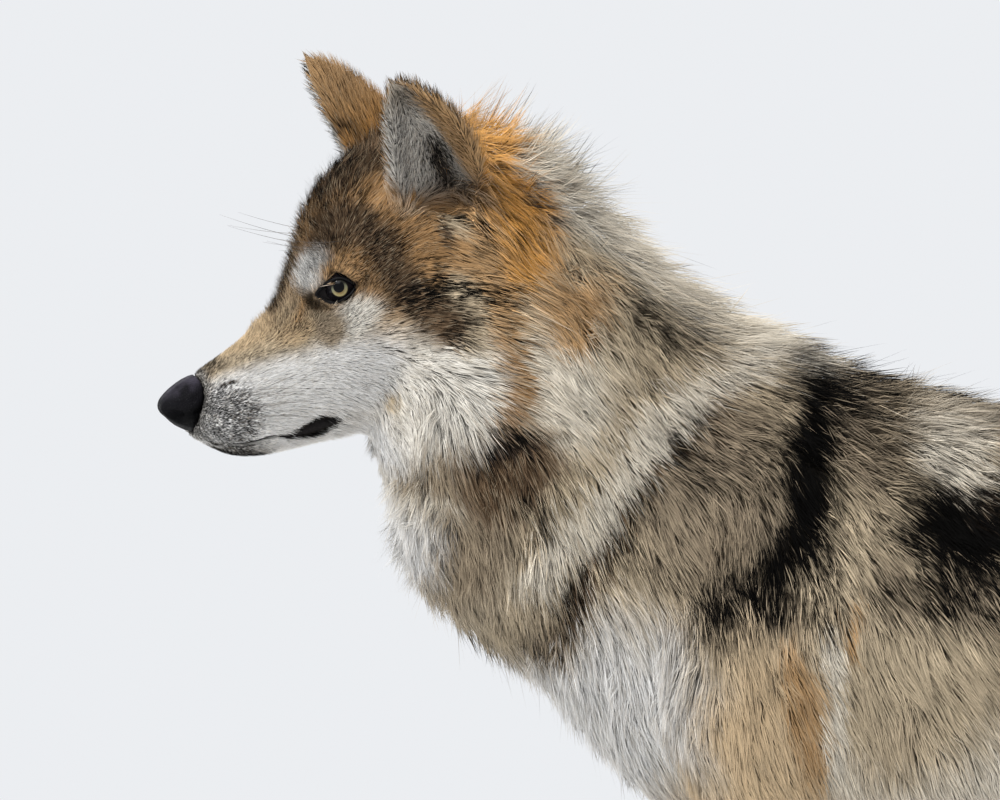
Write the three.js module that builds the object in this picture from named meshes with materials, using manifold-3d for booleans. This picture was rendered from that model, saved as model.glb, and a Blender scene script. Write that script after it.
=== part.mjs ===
// A grey wolf in its winter coat, standing still with its head turned a little to the left.
// Life size, in millimetres, +Z up. It faces -X, and its left side is towards -Y.
// Every surface is the outside of the coat. The body is parted into its named pieces by thin gaps.
import * as THREE from 'three';
import Module from 'manifold-3d';
import { mergeVertices } from 'three/addons/utils/BufferGeometryUtils.js';

const wasm = await Module();
wasm.setup();

// ---------------------------------------------------------------- driving sizes
const GAP = 0.5; // clearance that parts one piece from the next
const FACET = 0.16; // how far a thinned-out surface may stray from the full one
const NOSE = new THREE.Vector3(1.5, -62, 701); // nose tip in the body's frame
const HEAD_PITCH = 20; // degrees that the nose points down
const HEAD_YAW = 16; // degrees that the face turns to the left
const HEAD_ROLL = 7; // degrees that the left cheek hangs lower
const EYE = { behind: 142, up: 38.5, out: 35.5, radius: 12 };
const EAR = { width: 69, cup: 21, wall: 8, sunk: 6 };
const EARS = {
  left: { base: [216, -64, 60], tip: [211, -80, 172], turn: 64 }, // turned out to the side
  right: { base: [224, 60, 66], tip: [194, 68, 179], turn: 44 }, // pricked forward
};
const STRIDE = { foreLeft: 4, foreRight: -34, hindLeft: 18, hindRight: -44 }; // how far each paw stands back
const PAW = { fore: { long: 104, wide: 82, high: 50 }, hind: { long: 92, wide: 70, high: 44 } };
const CLAW = { long: 13, root: 3.4 };

// ---------------------------------------------------------------- colours of the coat
const coat = (hex, roughness = 0.9) =>
  new THREE.MeshStandardMaterial({ color: hex, roughness, metalness: 0 });
const COAT = {
  face: coat(0xa9a092),
  jaw: coat(0xc9c5bd),
  ear: coat(0xa87f4d),
  ruff: coat(0xa8967c),
  back: coat(0x847765),
  leg: coat(0xb08d62),
  paw: coat(0xbfae95),
  tail: coat(0x8d7c66),
  nose: coat(0x1b1a1e, 0.35),
  eye: coat(0xb08f3c, 0.08),
  claw: coat(0x2b2724, 0.4),
};

// ---------------------------------------------------------------- surfaces
const UP = new THREE.Vector3(0, 0, 1);
const LEFT = new THREE.Vector3(0, -1, 0);
const rad = THREE.MathUtils.degToRad;

// A value that runs smoothly through the rows of a station table, by the share t of the rows passed.
function track(rows, read) {
  const curve = new THREE.SplineCurve(rows.map((row, i) => new THREE.Vector2(i, read(row))));
  return (t) => curve.getPoint(t).y;
}

// Closes a stack of rings, each the same number of points, into one surface with its faces out.
function closeRings(rings) {
  const around = rings[0].length;
  const middle = (ring) =>
    ring.reduce((sum, p) => sum.add(p), new THREE.Vector3()).divideScalar(around);
  const points = [...rings.flat(), middle(rings[0]), middle(rings.at(-1))];
  const first = rings.length * around;
  const index = [];
  for (let i = 0; i < rings.length - 1; i++) {
    for (let j = 0; j < around; j++) {
      const a = i * around + j;
      const b = i * around + ((j + 1) % around);
      index.push(a, b, a + around, b, b + around, a + around);
    }
  }
  for (let j = 0; j < around; j++) {
    const next = (j + 1) % around;
    index.push(first, next, j);
    index.push(first + 1, first - around + j, first - around + next);
  }
  const made = new THREE.BufferGeometry().setFromPoints(points);
  made.setIndex(index);
  if (volumeOf(made) < 0) made.setIndex(index.slice().reverse());
  return made;
}

function volumeOf(geometry) {
  const p = geometry.getAttribute('position');
  const index = geometry.getIndex();
  const [a, b, c] = [new THREE.Vector3(), new THREE.Vector3(), new THREE.Vector3()];
  let sum = 0;
  for (let i = 0; i < index.count; i += 3) {
    a.fromBufferAttribute(p, index.getX(i));
    b.fromBufferAttribute(p, index.getX(i + 1));
    c.fromBufferAttribute(p, index.getX(i + 2));
    sum += a.dot(b.cross(c)) / 6;
  }
  return sum;
}

const signedPower = (x, power) => Math.sign(x) * Math.abs(x) ** power;

// One ring of a rounded section. up, down and side are its reaches, and crown and keel say how
// square its upper and lower halves are: 2 is an ellipse, more is boxier, less is leaner.
function sectionRing(centre, upward, sideways, { up, down, side, crown = 2, keel = 2 }, around) {
  return Array.from({ length: around }, (_, j) => {
    const angle = (2 * Math.PI * j) / around;
    const power = 2 / (Math.sin(angle) >= 0 ? crown : keel);
    const height = signedPower(Math.sin(angle), power) * (Math.sin(angle) >= 0 ? up : down);
    const width = signedPower(Math.cos(angle), power) * side;
    return centre.clone().addScaledVector(upward, height).addScaledVector(sideways, width);
  });
}

// A body whose rows give the top and bottom of its outline, its half width, how high up the widest
// place is (0 is the bottom, 1 the top) and how square its two halves are.
function outlineLoft(rows, around, along) {
  const read = (key) => track(rows, (row) => row[key]);
  const [topX, topZ] = [track(rows, (r) => r.top[0]), track(rows, (r) => r.top[1])];
  const [lowX, lowZ] = [track(rows, (r) => r.low[0]), track(rows, (r) => r.low[1])];
  const [half, widest, crown, keel, shift] = ['half', 'widest', 'crown', 'keel', 'shift'].map(read);
  const rings = Array.from({ length: along + 1 }, (_, i) => {
    const t = i / along;
    const top = new THREE.Vector3(topX(t), shift(t), topZ(t));
    const low = new THREE.Vector3(lowX(t), shift(t), lowZ(t));
    const depth = top.distanceTo(low);
    const upward = top.clone().sub(low).normalize();
    const section = {
      up: (1 - widest(t)) * depth,
      down: widest(t) * depth,
      side: half(t),
      crown: crown(t),
      keel: keel(t),
    };
    const centre = low.clone().lerp(top, widest(t));
    return sectionRing(centre, upward, LEFT, section, around);
  });
  return closeRings(rings);
}

// A limb or tail whose rows give the middle of each section and its reach to the front, back and side.
function limbLoft(rows, around, along) {
  const line = new THREE.CatmullRomCurve3(rows.map((row) => new THREE.Vector3(...row.at)), false, 'catmullrom');
  const [fore, aft, side] = ['fore', 'aft', 'side'].map((key) => track(rows, (row) => row[key]));
  const rings = Array.from({ length: along + 1 }, (_, i) => {
    const t = i / along;
    const tangent = line.getTangent(t);
    const sideways = LEFT.clone().addScaledVector(tangent, -LEFT.dot(tangent)).normalize();
    const forward = tangent.clone().cross(sideways).normalize();
    if (forward.x > 0) forward.negate();
    const section = { up: fore(t), down: aft(t), side: side(t), crown: 2.2, keel: 2 };
    return sectionRing(line.getPoint(t), forward, sideways, section, around);
  });
  return closeRings(rings);
}

// Raises (or, with a negative height, sinks) the surface round a point, fading over the reach on each axis.
function swell(geometry, at, reach, height) {
  geometry.computeVertexNormals();
  const p = geometry.getAttribute('position');
  const n = geometry.getAttribute('normal');
  for (let i = 0; i < p.count; i++) {
    const offset = [p.getX(i) - at[0], p.getY(i) - at[1], p.getZ(i) - at[2]];
    const distance = Math.hypot(...offset.map((d, k) => d / reach[k]));
    const lift = height * Math.exp(-distance * distance);
    p.setXYZ(i, p.getX(i) + n.getX(i) * lift, p.getY(i) + n.getY(i) * lift, p.getZ(i) + n.getZ(i) * lift);
  }
  geometry.deleteAttribute('normal');
  return geometry;
}

const swellBothSides = (geometry, [x, y, z], reach, height) =>
  swell(swell(geometry, [x, -y, z], reach, height), [x, y, z], reach, height);

function ball(radii, around, high) {
  const made = new THREE.SphereGeometry(1, around, high);
  made.rotateX(Math.PI / 2);
  return made.scale(...radii);
}

// ---------------------------------------------------------------- solids
function joined(geometry) {
  const bare = geometry.clone();
  bare.deleteAttribute('normal');
  bare.deleteAttribute('uv');
  return mergeVertices(bare, 1e-4);
}

function solid(geometry) {
  const closed = joined(geometry);
  return new wasm.Manifold(
    new wasm.Mesh({
      numProp: 3,
      vertProperties: new Float32Array(closed.getAttribute('position').array),
      triVerts: new Uint32Array(closed.getIndex().array),
    }),
  );
}

// The same shape a gap's width larger, which is what its neighbours are cut back by.
function roomy(geometry, by = GAP) {
  const closed = joined(geometry);
  closed.computeVertexNormals();
  const p = closed.getAttribute('position');
  const n = closed.getAttribute('normal');
  for (let i = 0; i < p.count; i++) {
    p.setXYZ(i, p.getX(i) + n.getX(i) * by, p.getY(i) + n.getY(i) * by, p.getZ(i) + n.getZ(i) * by);
  }
  return solid(closed);
}

function geometryOf(piece) {
  const mesh = piece.getMesh();
  const made = new THREE.BufferGeometry();
  const points = new Float32Array(mesh.numVert * 3);
  for (let i = 0; i < mesh.numVert; i++) {
    points.set(mesh.vertProperties.subarray(i * mesh.numProp, i * mesh.numProp + 3), i * 3);
  }
  made.setAttribute('position', new THREE.BufferAttribute(points, 3));
  made.setIndex(new THREE.BufferAttribute(new Uint32Array(mesh.triVerts), 1));
  made.computeVertexNormals();
  return made;
}

// Thins out a piece's facets and drops the slivers that a cut leaves, keeping the main body.
function mainBody(piece, facet = FACET) {
  const bodies = piece.asOriginal().simplify(facet).decompose();
  return bodies.sort((a, b) => b.volume() - a.volume())[0];
}

const cutBack = (piece, ...neighbours) =>
  mainBody(neighbours.reduce((left, taken) => left.subtract(taken), piece));

function meshOf(name, shape, material) {
  const geometry = shape.isBufferGeometry ? shape : geometryOf(shape);
  const mesh = new THREE.Mesh(geometry, material);
  mesh.name = name;
  return mesh;
}

// ---------------------------------------------------------------- the head, level, from its nose tip
// Here x runs back from the nose tip, z up from it, and the left side is -y.
const HEAD_ROWS = [
  { at: 9, top: 1, low: -23, half: 8, widest: 0.5, crown: 2, keel: 2 },
  { at: 17, top: 6.5, low: -32, half: 15.5, widest: 0.42, crown: 2, keel: 2.1 },
  { at: 28, top: 9.8, low: -43, half: 21.5, widest: 0.38, crown: 2, keel: 2.3 },
  { at: 38, top: 12, low: -52, half: 24.5, widest: 0.38, crown: 2, keel: 2.4 },
  { at: 52, top: 15.5, low: -58, half: 26.5, widest: 0.38, crown: 2.0, keel: 2.4 },
  { at: 72, top: 22, low: -62, half: 28.5, widest: 0.4, crown: 1.95, keel: 2.4 },
  { at: 95, top: 31.5, low: -65, half: 33, widest: 0.42, crown: 1.9, keel: 2.4 },
  { at: 114, top: 44, low: -68, half: 43, widest: 0.44, crown: 1.9, keel: 2.2 },
  { at: 130, top: 62, low: -71, half: 54, widest: 0.46, crown: 2.0, keel: 2.0 },
  { at: 146, top: 85, low: -75, half: 64, widest: 0.46, crown: 2.1, keel: 1.9 },
  { at: 166, top: 102, low: -81, half: 75, widest: 0.45, crown: 2.1, keel: 1.9 },
  { at: 190, top: 112, low: -89, half: 86, widest: 0.43, crown: 2.1, keel: 1.9 },
  { at: 215, top: 116, low: -94, half: 92, widest: 0.42, crown: 2.1, keel: 1.9 },
  { at: 240, top: 114, low: -92, half: 90, widest: 0.42, crown: 2.1, keel: 1.9 },
  { at: 262, top: 104, low: -78, half: 76, widest: 0.44, crown: 2, keel: 2 },
  { at: 276, top: 86, low: -52, half: 52, widest: 0.48, crown: 2, keel: 2 },
];

function headShape() {
  const rows = HEAD_ROWS.map((row) => ({
    ...row,
    top: [row.at, row.top],
    low: [row.at, row.low],
    shift: 0,
  }));
  const head = outlineLoft(rows, 24, 24);
  swellBothSides(head, [EYE.behind - 7, EYE.out + 7, EYE.up - 1], [18, 22, 13], -8); // eye hollows
  swellBothSides(head, [EYE.behind, EYE.out + 2, EYE.up + 20], [18, 18, 12], 5); // brow ridges
  swellBothSides(head, [166, 66, 2], [26, 24, 20], 5); // cheekbones
  swellBothSides(head, [100, 30, 4], [20, 14, 16], -3.5); // hollows between muzzle and cheek
  swellBothSides(head, [42, 24, -26], [24, 14, 18], 2.5); // whisker pads
  swell(head, [140, 0, 92], [30, 11, 30], -4); // furrow down the forehead
  swellBothSides(head, [222, 88, -38], [34, 30, 34], 9); // cheek ruffs
  return head;
}

function noseShape() {
  const rows = [
    { at: -1, top: -2.5, low: -9, half: 4 },
    { at: 1.5, top: 1, low: -13, half: 8.5 },
    { at: 6, top: 4, low: -19, half: 13 },
    { at: 12, top: 6.6, low: -25, half: 16 },
    { at: 19, top: 8.8, low: -28, half: 17.8 },
    { at: 26, top: 10, low: -22, half: 16.8 },
    { at: 31, top: 9.8, low: -10, half: 13 },
  ].map((row) => ({
    ...row,
    top: [row.at, row.top],
    low: [row.at, row.low],
    widest: 0.52,
    crown: 2.2,
    keel: 1.8,
    shift: 0,
  }));
  const nose = outlineLoft(rows, 14, 8);
  swellBothSides(nose, [3, 10, -9], [6, 5, 5], -3.2); // nostrils
  swell(nose, [-1, 0, -10], [8, 2.6, 14], -1.6); // groove between them
  return nose;
}

// The line of the closed lips in side view, then round under the back of the jaw.
function jawShape() {
  const lips = new THREE.SplineCurve(
    [[4, -36], [25, -41], [36, -46.5], [50, -50], [70, -51], [94, -51], [112, -49.5]].map((p) => new THREE.Vector2(...p)),
  ).getPoints(14);
  const outline = new THREE.Shape([
    ...lips,
    new THREE.Vector2(138, -62),
    new THREE.Vector2(150, -100),
    new THREE.Vector2(4, -100),
  ]);
  const block = new THREE.ExtrudeGeometry(outline, { depth: 140, bevelEnabled: false });
  block.rotateX(Math.PI / 2);
  return block.translate(0, 70, 0);
}

// An ear stands on its base at the origin with its back to +x and its front edge to +y.
const earHalf = (t) =>
  (EAR.width / 2) * (0.6 + 0.4 * Math.sin((Math.PI / 2) * Math.min(t / 0.38, 1))) * (1 - t ** 2.8) ** 0.8;
const earBow = (t) => -8.5 * Math.sin(Math.PI * t); // its front edge is straight and its back edge round

// The outside of an ear of a given height; grow is how much larger it is made on every side.
function earOutside(height, grow = 0) {
  const along = 8;
  const rings = Array.from({ length: along + 1 }, (_, i) => {
    const t = i / along;
    const depth = (EAR.cup + EAR.wall) * (1 - t) ** 0.7 + 3;
    const z = t * height + (i === along ? grow : 0) - (i === 0 ? grow : 0);
    return Array.from({ length: 11 }, (_, j) => {
      const angle = (Math.PI * j) / 10;
      const y = earBow(t) - Math.cos(angle) * (earHalf(t) + 1.4 + grow);
      return new THREE.Vector3(Math.sin(angle) * (depth + 2 * grow) - 1.5 - grow, y, z);
    });
  });
  return closeRings(rings);
}

// The hollow of the ear, open to the front.
function earHollow(height) {
  const along = 7;
  const rings = Array.from({ length: along + 1 }, (_, i) => {
    const t = 0.08 + (0.83 * i) / along;
    const depth = EAR.cup * (1 - t) ** 0.7;
    return Array.from({ length: 9 }, (_, j) => {
      const angle = (Math.PI * j) / 8;
      const y = earBow(t) - Math.cos(angle) * Math.max(earHalf(t) - 3, 2);
      return new THREE.Vector3(Math.sin(angle) ** 0.8 * (depth + 14) - 14, y, t * height);
    });
  });
  return closeRings(rings);
}

// ---------------------------------------------------------------- neck and trunk, from rump to throat
const TORSO_ROWS = [
  { top: [1079, 618], low: [1068, 548], half: 34, widest: 0.5 },
  { top: [1062, 640], low: [1040, 500], half: 70, widest: 0.5 },
  { top: [1018, 664], low: [996, 470], half: 98, widest: 0.5 },
  { top: [955, 688], low: [938, 462], half: 108, widest: 0.5 },
  { top: [880, 701], low: [872, 458], half: 106, widest: 0.5 },
  { top: [800, 705], low: [795, 444], half: 106, widest: 0.48 },
  { top: [715, 703], low: [705, 420], half: 114, widest: 0.48 },
  { top: [635, 703], low: [615, 400], half: 122, widest: 0.5 },
  { top: [565, 710], low: [530, 388], half: 126, widest: 0.5 },
  { top: [505, 727], low: [450, 386], half: 124, widest: 0.5 },
  { top: [455, 750], low: [380, 398], half: 120, widest: 0.48 },
  { top: [415, 770], low: [325, 432], half: 116, widest: 0.46 },
  { top: [375, 794], low: [282, 486], half: 114, widest: 0.44 },
  { top: [335, 832], low: [232, 526], half: 114, widest: 0.42 },
  { top: [300, 864], low: [186, 556], half: 110, widest: 0.42 },
  { top: [270, 887], low: [158, 606], half: 100, widest: 0.43 },
  { top: [243, 903], low: [150, 664], half: 90, widest: 0.45 },
  { top: [221, 908], low: [154, 706], half: 72, widest: 0.46 },
  { top: [204, 896], low: [166, 742], half: 46, widest: 0.5 },
];

function torsoShape() {
  const last = TORSO_ROWS.length - 1;
  const rows = TORSO_ROWS.map((row, i) => ({
    ...row,
    crown: 2,
    keel: 2.1,
    shift: i > 13 ? -3 * (i - 13) * (i / last) : 0,
  }));
  const torso = outlineLoft(rows, 22, 28);
  swellBothSides(torso, [452, 92, 640], [60, 50, 80], 5); // shoulder blades
  swellBothSides(torso, [255, 100, 590], [60, 60, 70], 6); // ruff
  return torso;
}

// ---------------------------------------------------------------- limbs
// Each row: the section's middle (back from the nose tip, out from the middle plane, up) and its reaches.
const FORELEG_ROWS = [
  { at: [462, 94, 668], fore: 26, aft: 26, side: 16 },
  { at: [440, 95, 625], fore: 52, aft: 46, side: 26 },
  { at: [416, 95, 560], fore: 68, aft: 60, side: 34 },
  { at: [404, 92, 500], fore: 62, aft: 62, side: 38 },
  { at: [410, 84, 446], fore: 44, aft: 58, side: 38 },
  { at: [422, 76, 398], fore: 38, aft: 46, side: 33 },
  { at: [414, 70, 345], fore: 31, aft: 34, side: 28 },
  { at: [408, 67, 285], fore: 26, aft: 27, side: 24.5 },
  { at: [405, 65, 225], fore: 22, aft: 24, side: 22 },
  { at: [404, 64, 175], fore: 22.5, aft: 24, side: 22.5 },
  { at: [403, 63, 138], fore: 20, aft: 24, side: 21 },
  { at: [396, 62, 96], fore: 20, aft: 23, side: 22 },
  { at: [386, 62, 58], fore: 23, aft: 25, side: 26 },
  { at: [378, 62, 30], fore: 24, aft: 26, side: 27 },
];

const HINDLEG_ROWS = [
  { at: [968, 78, 650], fore: 34, aft: 34, side: 16 },
  { at: [950, 80, 605], fore: 74, aft: 74, side: 32 },
  { at: [930, 82, 545], fore: 98, aft: 98, side: 42 },
  { at: [902, 83, 480], fore: 92, aft: 92, side: 45 },
  { at: [880, 82, 420], fore: 74, aft: 74, side: 42 },
  { at: [886, 80, 366], fore: 55, aft: 54, side: 36 },
  { at: [920, 78, 312], fore: 41, aft: 38, side: 29 },
  { at: [958, 76, 266], fore: 30, aft: 29, side: 24 },
  { at: [982, 75, 230], fore: 24, aft: 30, side: 22 },
  { at: [984, 74, 190], fore: 21, aft: 24, side: 20 },
  { at: [977, 73, 140], fore: 19, aft: 21, side: 19 },
  { at: [968, 72, 92], fore: 19, aft: 21, side: 20 },
  { at: [957, 72, 52], fore: 22, aft: 23, side: 24 },
  { at: [950, 72, 28], fore: 23, aft: 24, side: 25 },
];

function limbShape(rows, side, stride) {
  const high = rows[0].at[2];
  const placed = rows.map((row) => ({
    ...row,
    at: [row.at[0] + stride * (1 - row.at[2] / high), row.at[1] * side, row.at[2]],
  }));
  return limbLoft(placed, 11, 16);
}

const TAIL_ROWS = [
  { at: [1040, 0, 642], fore: 26, aft: 22, side: 24 },
  { at: [1068, 0, 600], fore: 34, aft: 33, side: 34 },
  { at: [1092, 3, 540], fore: 42, aft: 42, side: 41 },
  { at: [1106, 7, 470], fore: 48, aft: 48, side: 46 },
  { at: [1110, 11, 400], fore: 50, aft: 50, side: 48 },
  { at: [1104, 15, 330], fore: 45, aft: 46, side: 43 },
  { at: [1092, 18, 275], fore: 32, aft: 34, side: 31 },
  { at: [1080, 20, 238], fore: 12, aft: 13, side: 12 },
  { at: [1076, 20, 226], fore: 3, aft: 3, side: 3 },
];

// ---------------------------------------------------------------- paws
// A paw is built facing -x, its middle over the origin and its sole at z = 0.
const TOES = [-1.5, -0.5, 0.5, 1.5];

function toeOf(size, place) {
  const spread = Math.abs(place) > 1 ? 1 : 0;
  return {
    x: -size.long * (0.27 - 0.13 * spread),
    y: place * size.wide * 0.245,
    turn: rad(place * 7),
    radii: [size.long * 0.235, size.wide * 0.148, size.high * 0.36],
  };
}

function pawShape(size) {
  const heel = ball([size.long * 0.34, size.wide * 0.42, size.high * 0.5], 10, 5);
  heel.translate(size.long * 0.12, 0, size.high * 0.4);
  const ankle = ball([size.long * 0.27, size.wide * 0.36, size.high * 0.56], 10, 4);
  ankle.translate(size.long * 0.12, 0, size.high * 0.74);
  const toes = TOES.map((place) => {
    const toe = toeOf(size, place);
    const made = ball(toe.radii, 8, 4);
    made.rotateZ(-toe.turn);
    return made.translate(toe.x, toe.y, size.high * 0.33);
  });
  const above = new THREE.BoxGeometry(300, 300, 200).translate(0, 0, 100);
  const whole = [ankle, ...toes].reduce((sum, piece) => sum.add(solid(piece)), solid(heel));
  return mainBody(whole, 0.8).intersect(solid(above));
}

function clawShape() {
  const steps = 2;
  const rings = Array.from({ length: steps + 1 }, (_, i) => {
    const t = i / steps;
    const angle = rad(12 + 46 * t); // the claw curls down as it runs forward
    const centre = new THREE.Vector3(-CLAW.long * t, 0, -CLAW.long * 0.42 * t * t);
    const upward = new THREE.Vector3(-Math.sin(angle), 0, Math.cos(angle));
    const reach = CLAW.root * (1 - 0.86 * t);
    return sectionRing(centre, upward, LEFT, { up: reach * 1.25, down: reach * 1.1, side: reach * 0.8 }, 5);
  });
  return closeRings(rings);
}

// A leg and its paw, made whole and parted level with the paw's top, with the claws at its toes.
function limbGroup(name, rows, side, stride, size) {
  const group = new THREE.Group();
  const foot = rows.at(-1).at;
  group.position.set(foot[0] + stride - size.long * 0.12, side * foot[1], 0);
  const shape = limbShape(rows, side, stride);
  const shaft = shape.clone().translate(-group.position.x, -group.position.y, 0);
  const whole = solid(shaft).add(pawShape(size));
  const below = new THREE.BoxGeometry(600, 400, 200).translate(0, 0, size.high - 100);
  let paw = whole.intersect(solid(below));
  TOES.forEach((place, i) => {
    const toe = toeOf(size, place);
    const claw = clawShape();
    const ahead = toe.radii[0] * 0.86;
    const [x, y] = [toe.x - ahead * Math.cos(toe.turn), toe.y + ahead * Math.sin(toe.turn)];
    claw.rotateZ(-toe.turn);
    claw.translate(x, y, size.high * 0.37);
    paw = paw.subtract(roomy(claw));
    group.add(meshOf(`claw_${name}_${i + 1}`, claw, COAT.claw));
  });
  group.add(meshOf(`paw_${name}`, mainBody(paw), COAT.paw));
  const leg = whole.subtract(solid(below.translate(0, 0, GAP)));
  group.add(meshOf(`leg_${name}`, mainBody(leg), COAT.leg));
  return { group, shape };
}

// ---------------------------------------------------------------- assembly
const wolf = new THREE.Group();

const head = new THREE.Group();
head.position.copy(NOSE);
head.rotation.set(rad(HEAD_ROLL), -rad(HEAD_PITCH), rad(HEAD_YAW), 'ZYX');
head.updateMatrixWorld(true);
wolf.add(head);

const headOuter = headShape();
const nose = noseShape();
const jawBlock = jawShape();
const eyes = { left: -1, right: 1 };
const eyeBalls = Object.entries(eyes).map(([name, side]) => {
  const geometry = ball([EYE.radius, EYE.radius, EYE.radius], 12, 8);
  geometry.translate(EYE.behind, side * EYE.out, EYE.up);
  return { name: `eye_${name}`, geometry };
});

const ears = Object.entries(EARS).map(([name, { base, tip, turn }]) => {
  const [foot, point] = [new THREE.Vector3(...base), new THREE.Vector3(...tip)];
  const axis = point.clone().sub(foot).normalize();
  const height = point.distanceTo(foot) + EAR.sunk;
  const side = Math.sign(base[1]);
  const pose = new THREE.Matrix4()
    .makeTranslation(foot.addScaledVector(axis, -EAR.sunk))
    .multiply(new THREE.Matrix4().makeRotationFromQuaternion(new THREE.Quaternion().setFromUnitVectors(UP, axis)))
    .multiply(new THREE.Matrix4().makeRotationZ(-side * rad(turn)))
    .multiply(new THREE.Matrix4().makeScale(1, -side, 1));
  const place = (geometry) => solid(geometry).transform(pose.elements);
  const shape = mainBody(place(earOutside(height)).subtract(place(earHollow(height))));
  return { name: `ear_${name}`, shape, room: place(earOutside(height, GAP)) };
});

const whole = cutBack(
  solid(headOuter),
  roomy(nose),
  ...eyeBalls.map((eye) => roomy(eye.geometry)),
  ...ears.map((ear) => ear.room),
);
const jaw = mainBody(whole.intersect(solid(jawBlock)));
const skull = cutBack(whole, roomy(jawBlock));
head.add(meshOf('head', skull, COAT.face));
head.add(meshOf('lower_jaw', jaw, COAT.jaw));
head.add(meshOf('nose', nose, COAT.nose));
eyeBalls.forEach((eye) => head.add(meshOf(eye.name, eye.geometry, COAT.eye)));
ears.forEach((ear) => head.add(meshOf(ear.name, ear.shape, COAT.ear)));

// What the neck is cut back by: the whole head and both ears, posed.
const posed = (geometry) => geometry.clone().applyMatrix4(head.matrixWorld);
const headRoom = [roomy(posed(headOuter)), ...ears.map((ear) => ear.room.transform(head.matrixWorld.elements))];

const limbs = [
  ['fore_left', FORELEG_ROWS, -1, STRIDE.foreLeft, PAW.fore],
  ['fore_right', FORELEG_ROWS, 1, STRIDE.foreRight, PAW.fore],
  ['hind_left', HINDLEG_ROWS, -1, STRIDE.hindLeft, PAW.hind],
  ['hind_right', HINDLEG_ROWS, 1, STRIDE.hindRight, PAW.hind],
].map((limb) => limbGroup(...limb));
limbs.forEach((limb) => wolf.add(limb.group));

const tail = limbLoft(TAIL_ROWS, 12, 12);

const torso = cutBack(
  solid(torsoShape()),
  ...headRoom,
  ...limbs.map((limb) => roomy(limb.shape)),
  roomy(tail),
);
// The neck ends where the shoulders begin, on a plane that leans with the shoulder blades.
const partLine = { top: TORSO_ROWS[11].top, low: TORSO_ROWS[11].low };
const lean = Math.atan2(partLine.top[0] - partLine.low[0], partLine.top[1] - partLine.low[1]);
const frontSide = new THREE.BoxGeometry(800, 600, 1200).translate(-400, 0, 0);
frontSide.rotateY(lean);
frontSide.translate((partLine.top[0] + partLine.low[0]) / 2, 0, (partLine.top[1] + partLine.low[1]) / 2);
wolf.add(meshOf('neck', mainBody(torso.intersect(solid(frontSide))), COAT.ruff));
wolf.add(meshOf('trunk', cutBack(torso, solid(frontSide.translate(GAP, 0, 0))), COAT.back));
wolf.add(meshOf('tail', tail, COAT.tail));

// The origin is on the floor under the middle of the body's box.
wolf.updateMatrixWorld(true);
const box = new THREE.Box3().setFromObject(wolf, true);
wolf.children.forEach((child) => {
  child.position.x -= (box.min.x + box.max.x) / 2;
  child.position.y -= (box.min.y + box.max.y) / 2;
  child.position.z -= box.min.z;
});

export default wolf;
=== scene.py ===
"""A grey wolf in its winter coat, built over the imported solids.

The solids give the outside of the coat. One skin is laid inside them by the coat's depth, and the coat
itself is solid locks of hair that grow from that skin. Sizes below are millimetres: "body" places count x
back from the nose tip, y out from the middle plane and z up from the floor; "head" places count back from
the nose tip, out from the face's middle and up, with the head level.
"""
import math

import bmesh
import bpy
import numpy as np
from mathutils import Matrix, Vector
from mathutils.bvhtree import BVHTree
from mathutils.kdtree import KDTree


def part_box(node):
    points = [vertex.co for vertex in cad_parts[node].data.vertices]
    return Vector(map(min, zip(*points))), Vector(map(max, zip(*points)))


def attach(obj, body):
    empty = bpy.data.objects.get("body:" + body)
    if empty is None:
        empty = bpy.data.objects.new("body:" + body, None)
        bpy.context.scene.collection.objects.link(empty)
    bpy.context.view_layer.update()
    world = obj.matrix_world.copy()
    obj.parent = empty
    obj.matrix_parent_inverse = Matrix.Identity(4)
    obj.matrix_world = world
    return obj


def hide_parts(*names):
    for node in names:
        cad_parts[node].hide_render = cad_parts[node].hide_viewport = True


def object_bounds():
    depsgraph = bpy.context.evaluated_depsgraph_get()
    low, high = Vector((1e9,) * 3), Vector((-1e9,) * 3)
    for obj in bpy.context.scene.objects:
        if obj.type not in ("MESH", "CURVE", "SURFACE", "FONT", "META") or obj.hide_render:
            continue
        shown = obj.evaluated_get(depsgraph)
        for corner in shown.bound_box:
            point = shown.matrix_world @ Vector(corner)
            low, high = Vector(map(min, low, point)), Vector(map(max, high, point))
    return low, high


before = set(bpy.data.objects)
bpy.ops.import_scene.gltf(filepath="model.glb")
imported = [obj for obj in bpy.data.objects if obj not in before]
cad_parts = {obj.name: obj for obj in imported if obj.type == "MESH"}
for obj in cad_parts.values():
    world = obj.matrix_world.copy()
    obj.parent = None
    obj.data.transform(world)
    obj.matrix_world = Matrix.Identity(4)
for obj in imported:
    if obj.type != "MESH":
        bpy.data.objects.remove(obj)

CAD_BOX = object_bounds()
REACH = [  # how far the coat may reach: a little past the CAD box, and never into the floor
    np.array(CAD_BOX[0], float) - (0.012, 0.008, -0.0003),
    np.array(CAD_BOX[1], float) + (0.012, 0.008, 0.012),
]
RNG = np.random.default_rng(20)

# ------------------------------------------------------------------ frames of reference
TIP_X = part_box("nose")[0].x * 1000.0 - 1.03  # the nose pad starts just behind the zero of body places
MIDDLE_Y = (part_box("trunk")[0].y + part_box("trunk")[1].y) * 500.0
NOSE_TIP = np.array([1.5, -62.0, 701.0])  # body place of the head's origin
HEAD_PITCH, HEAD_YAW, HEAD_ROLL = 20.0, 16.0, 7.0
SIGN = {"left": -1, "right": 1}


def turn(angle, axis):
    return np.array(Matrix.Rotation(math.radians(angle), 3, axis))


HEAD = turn(HEAD_YAW, "Z") @ turn(-HEAD_PITCH, "Y") @ turn(HEAD_ROLL, "X")


def from_body(p):
    """Body millimetres to the scene's metres."""
    return (np.asarray(p, float) + (TIP_X, MIDDLE_Y, 0.0)) / 1000.0


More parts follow.
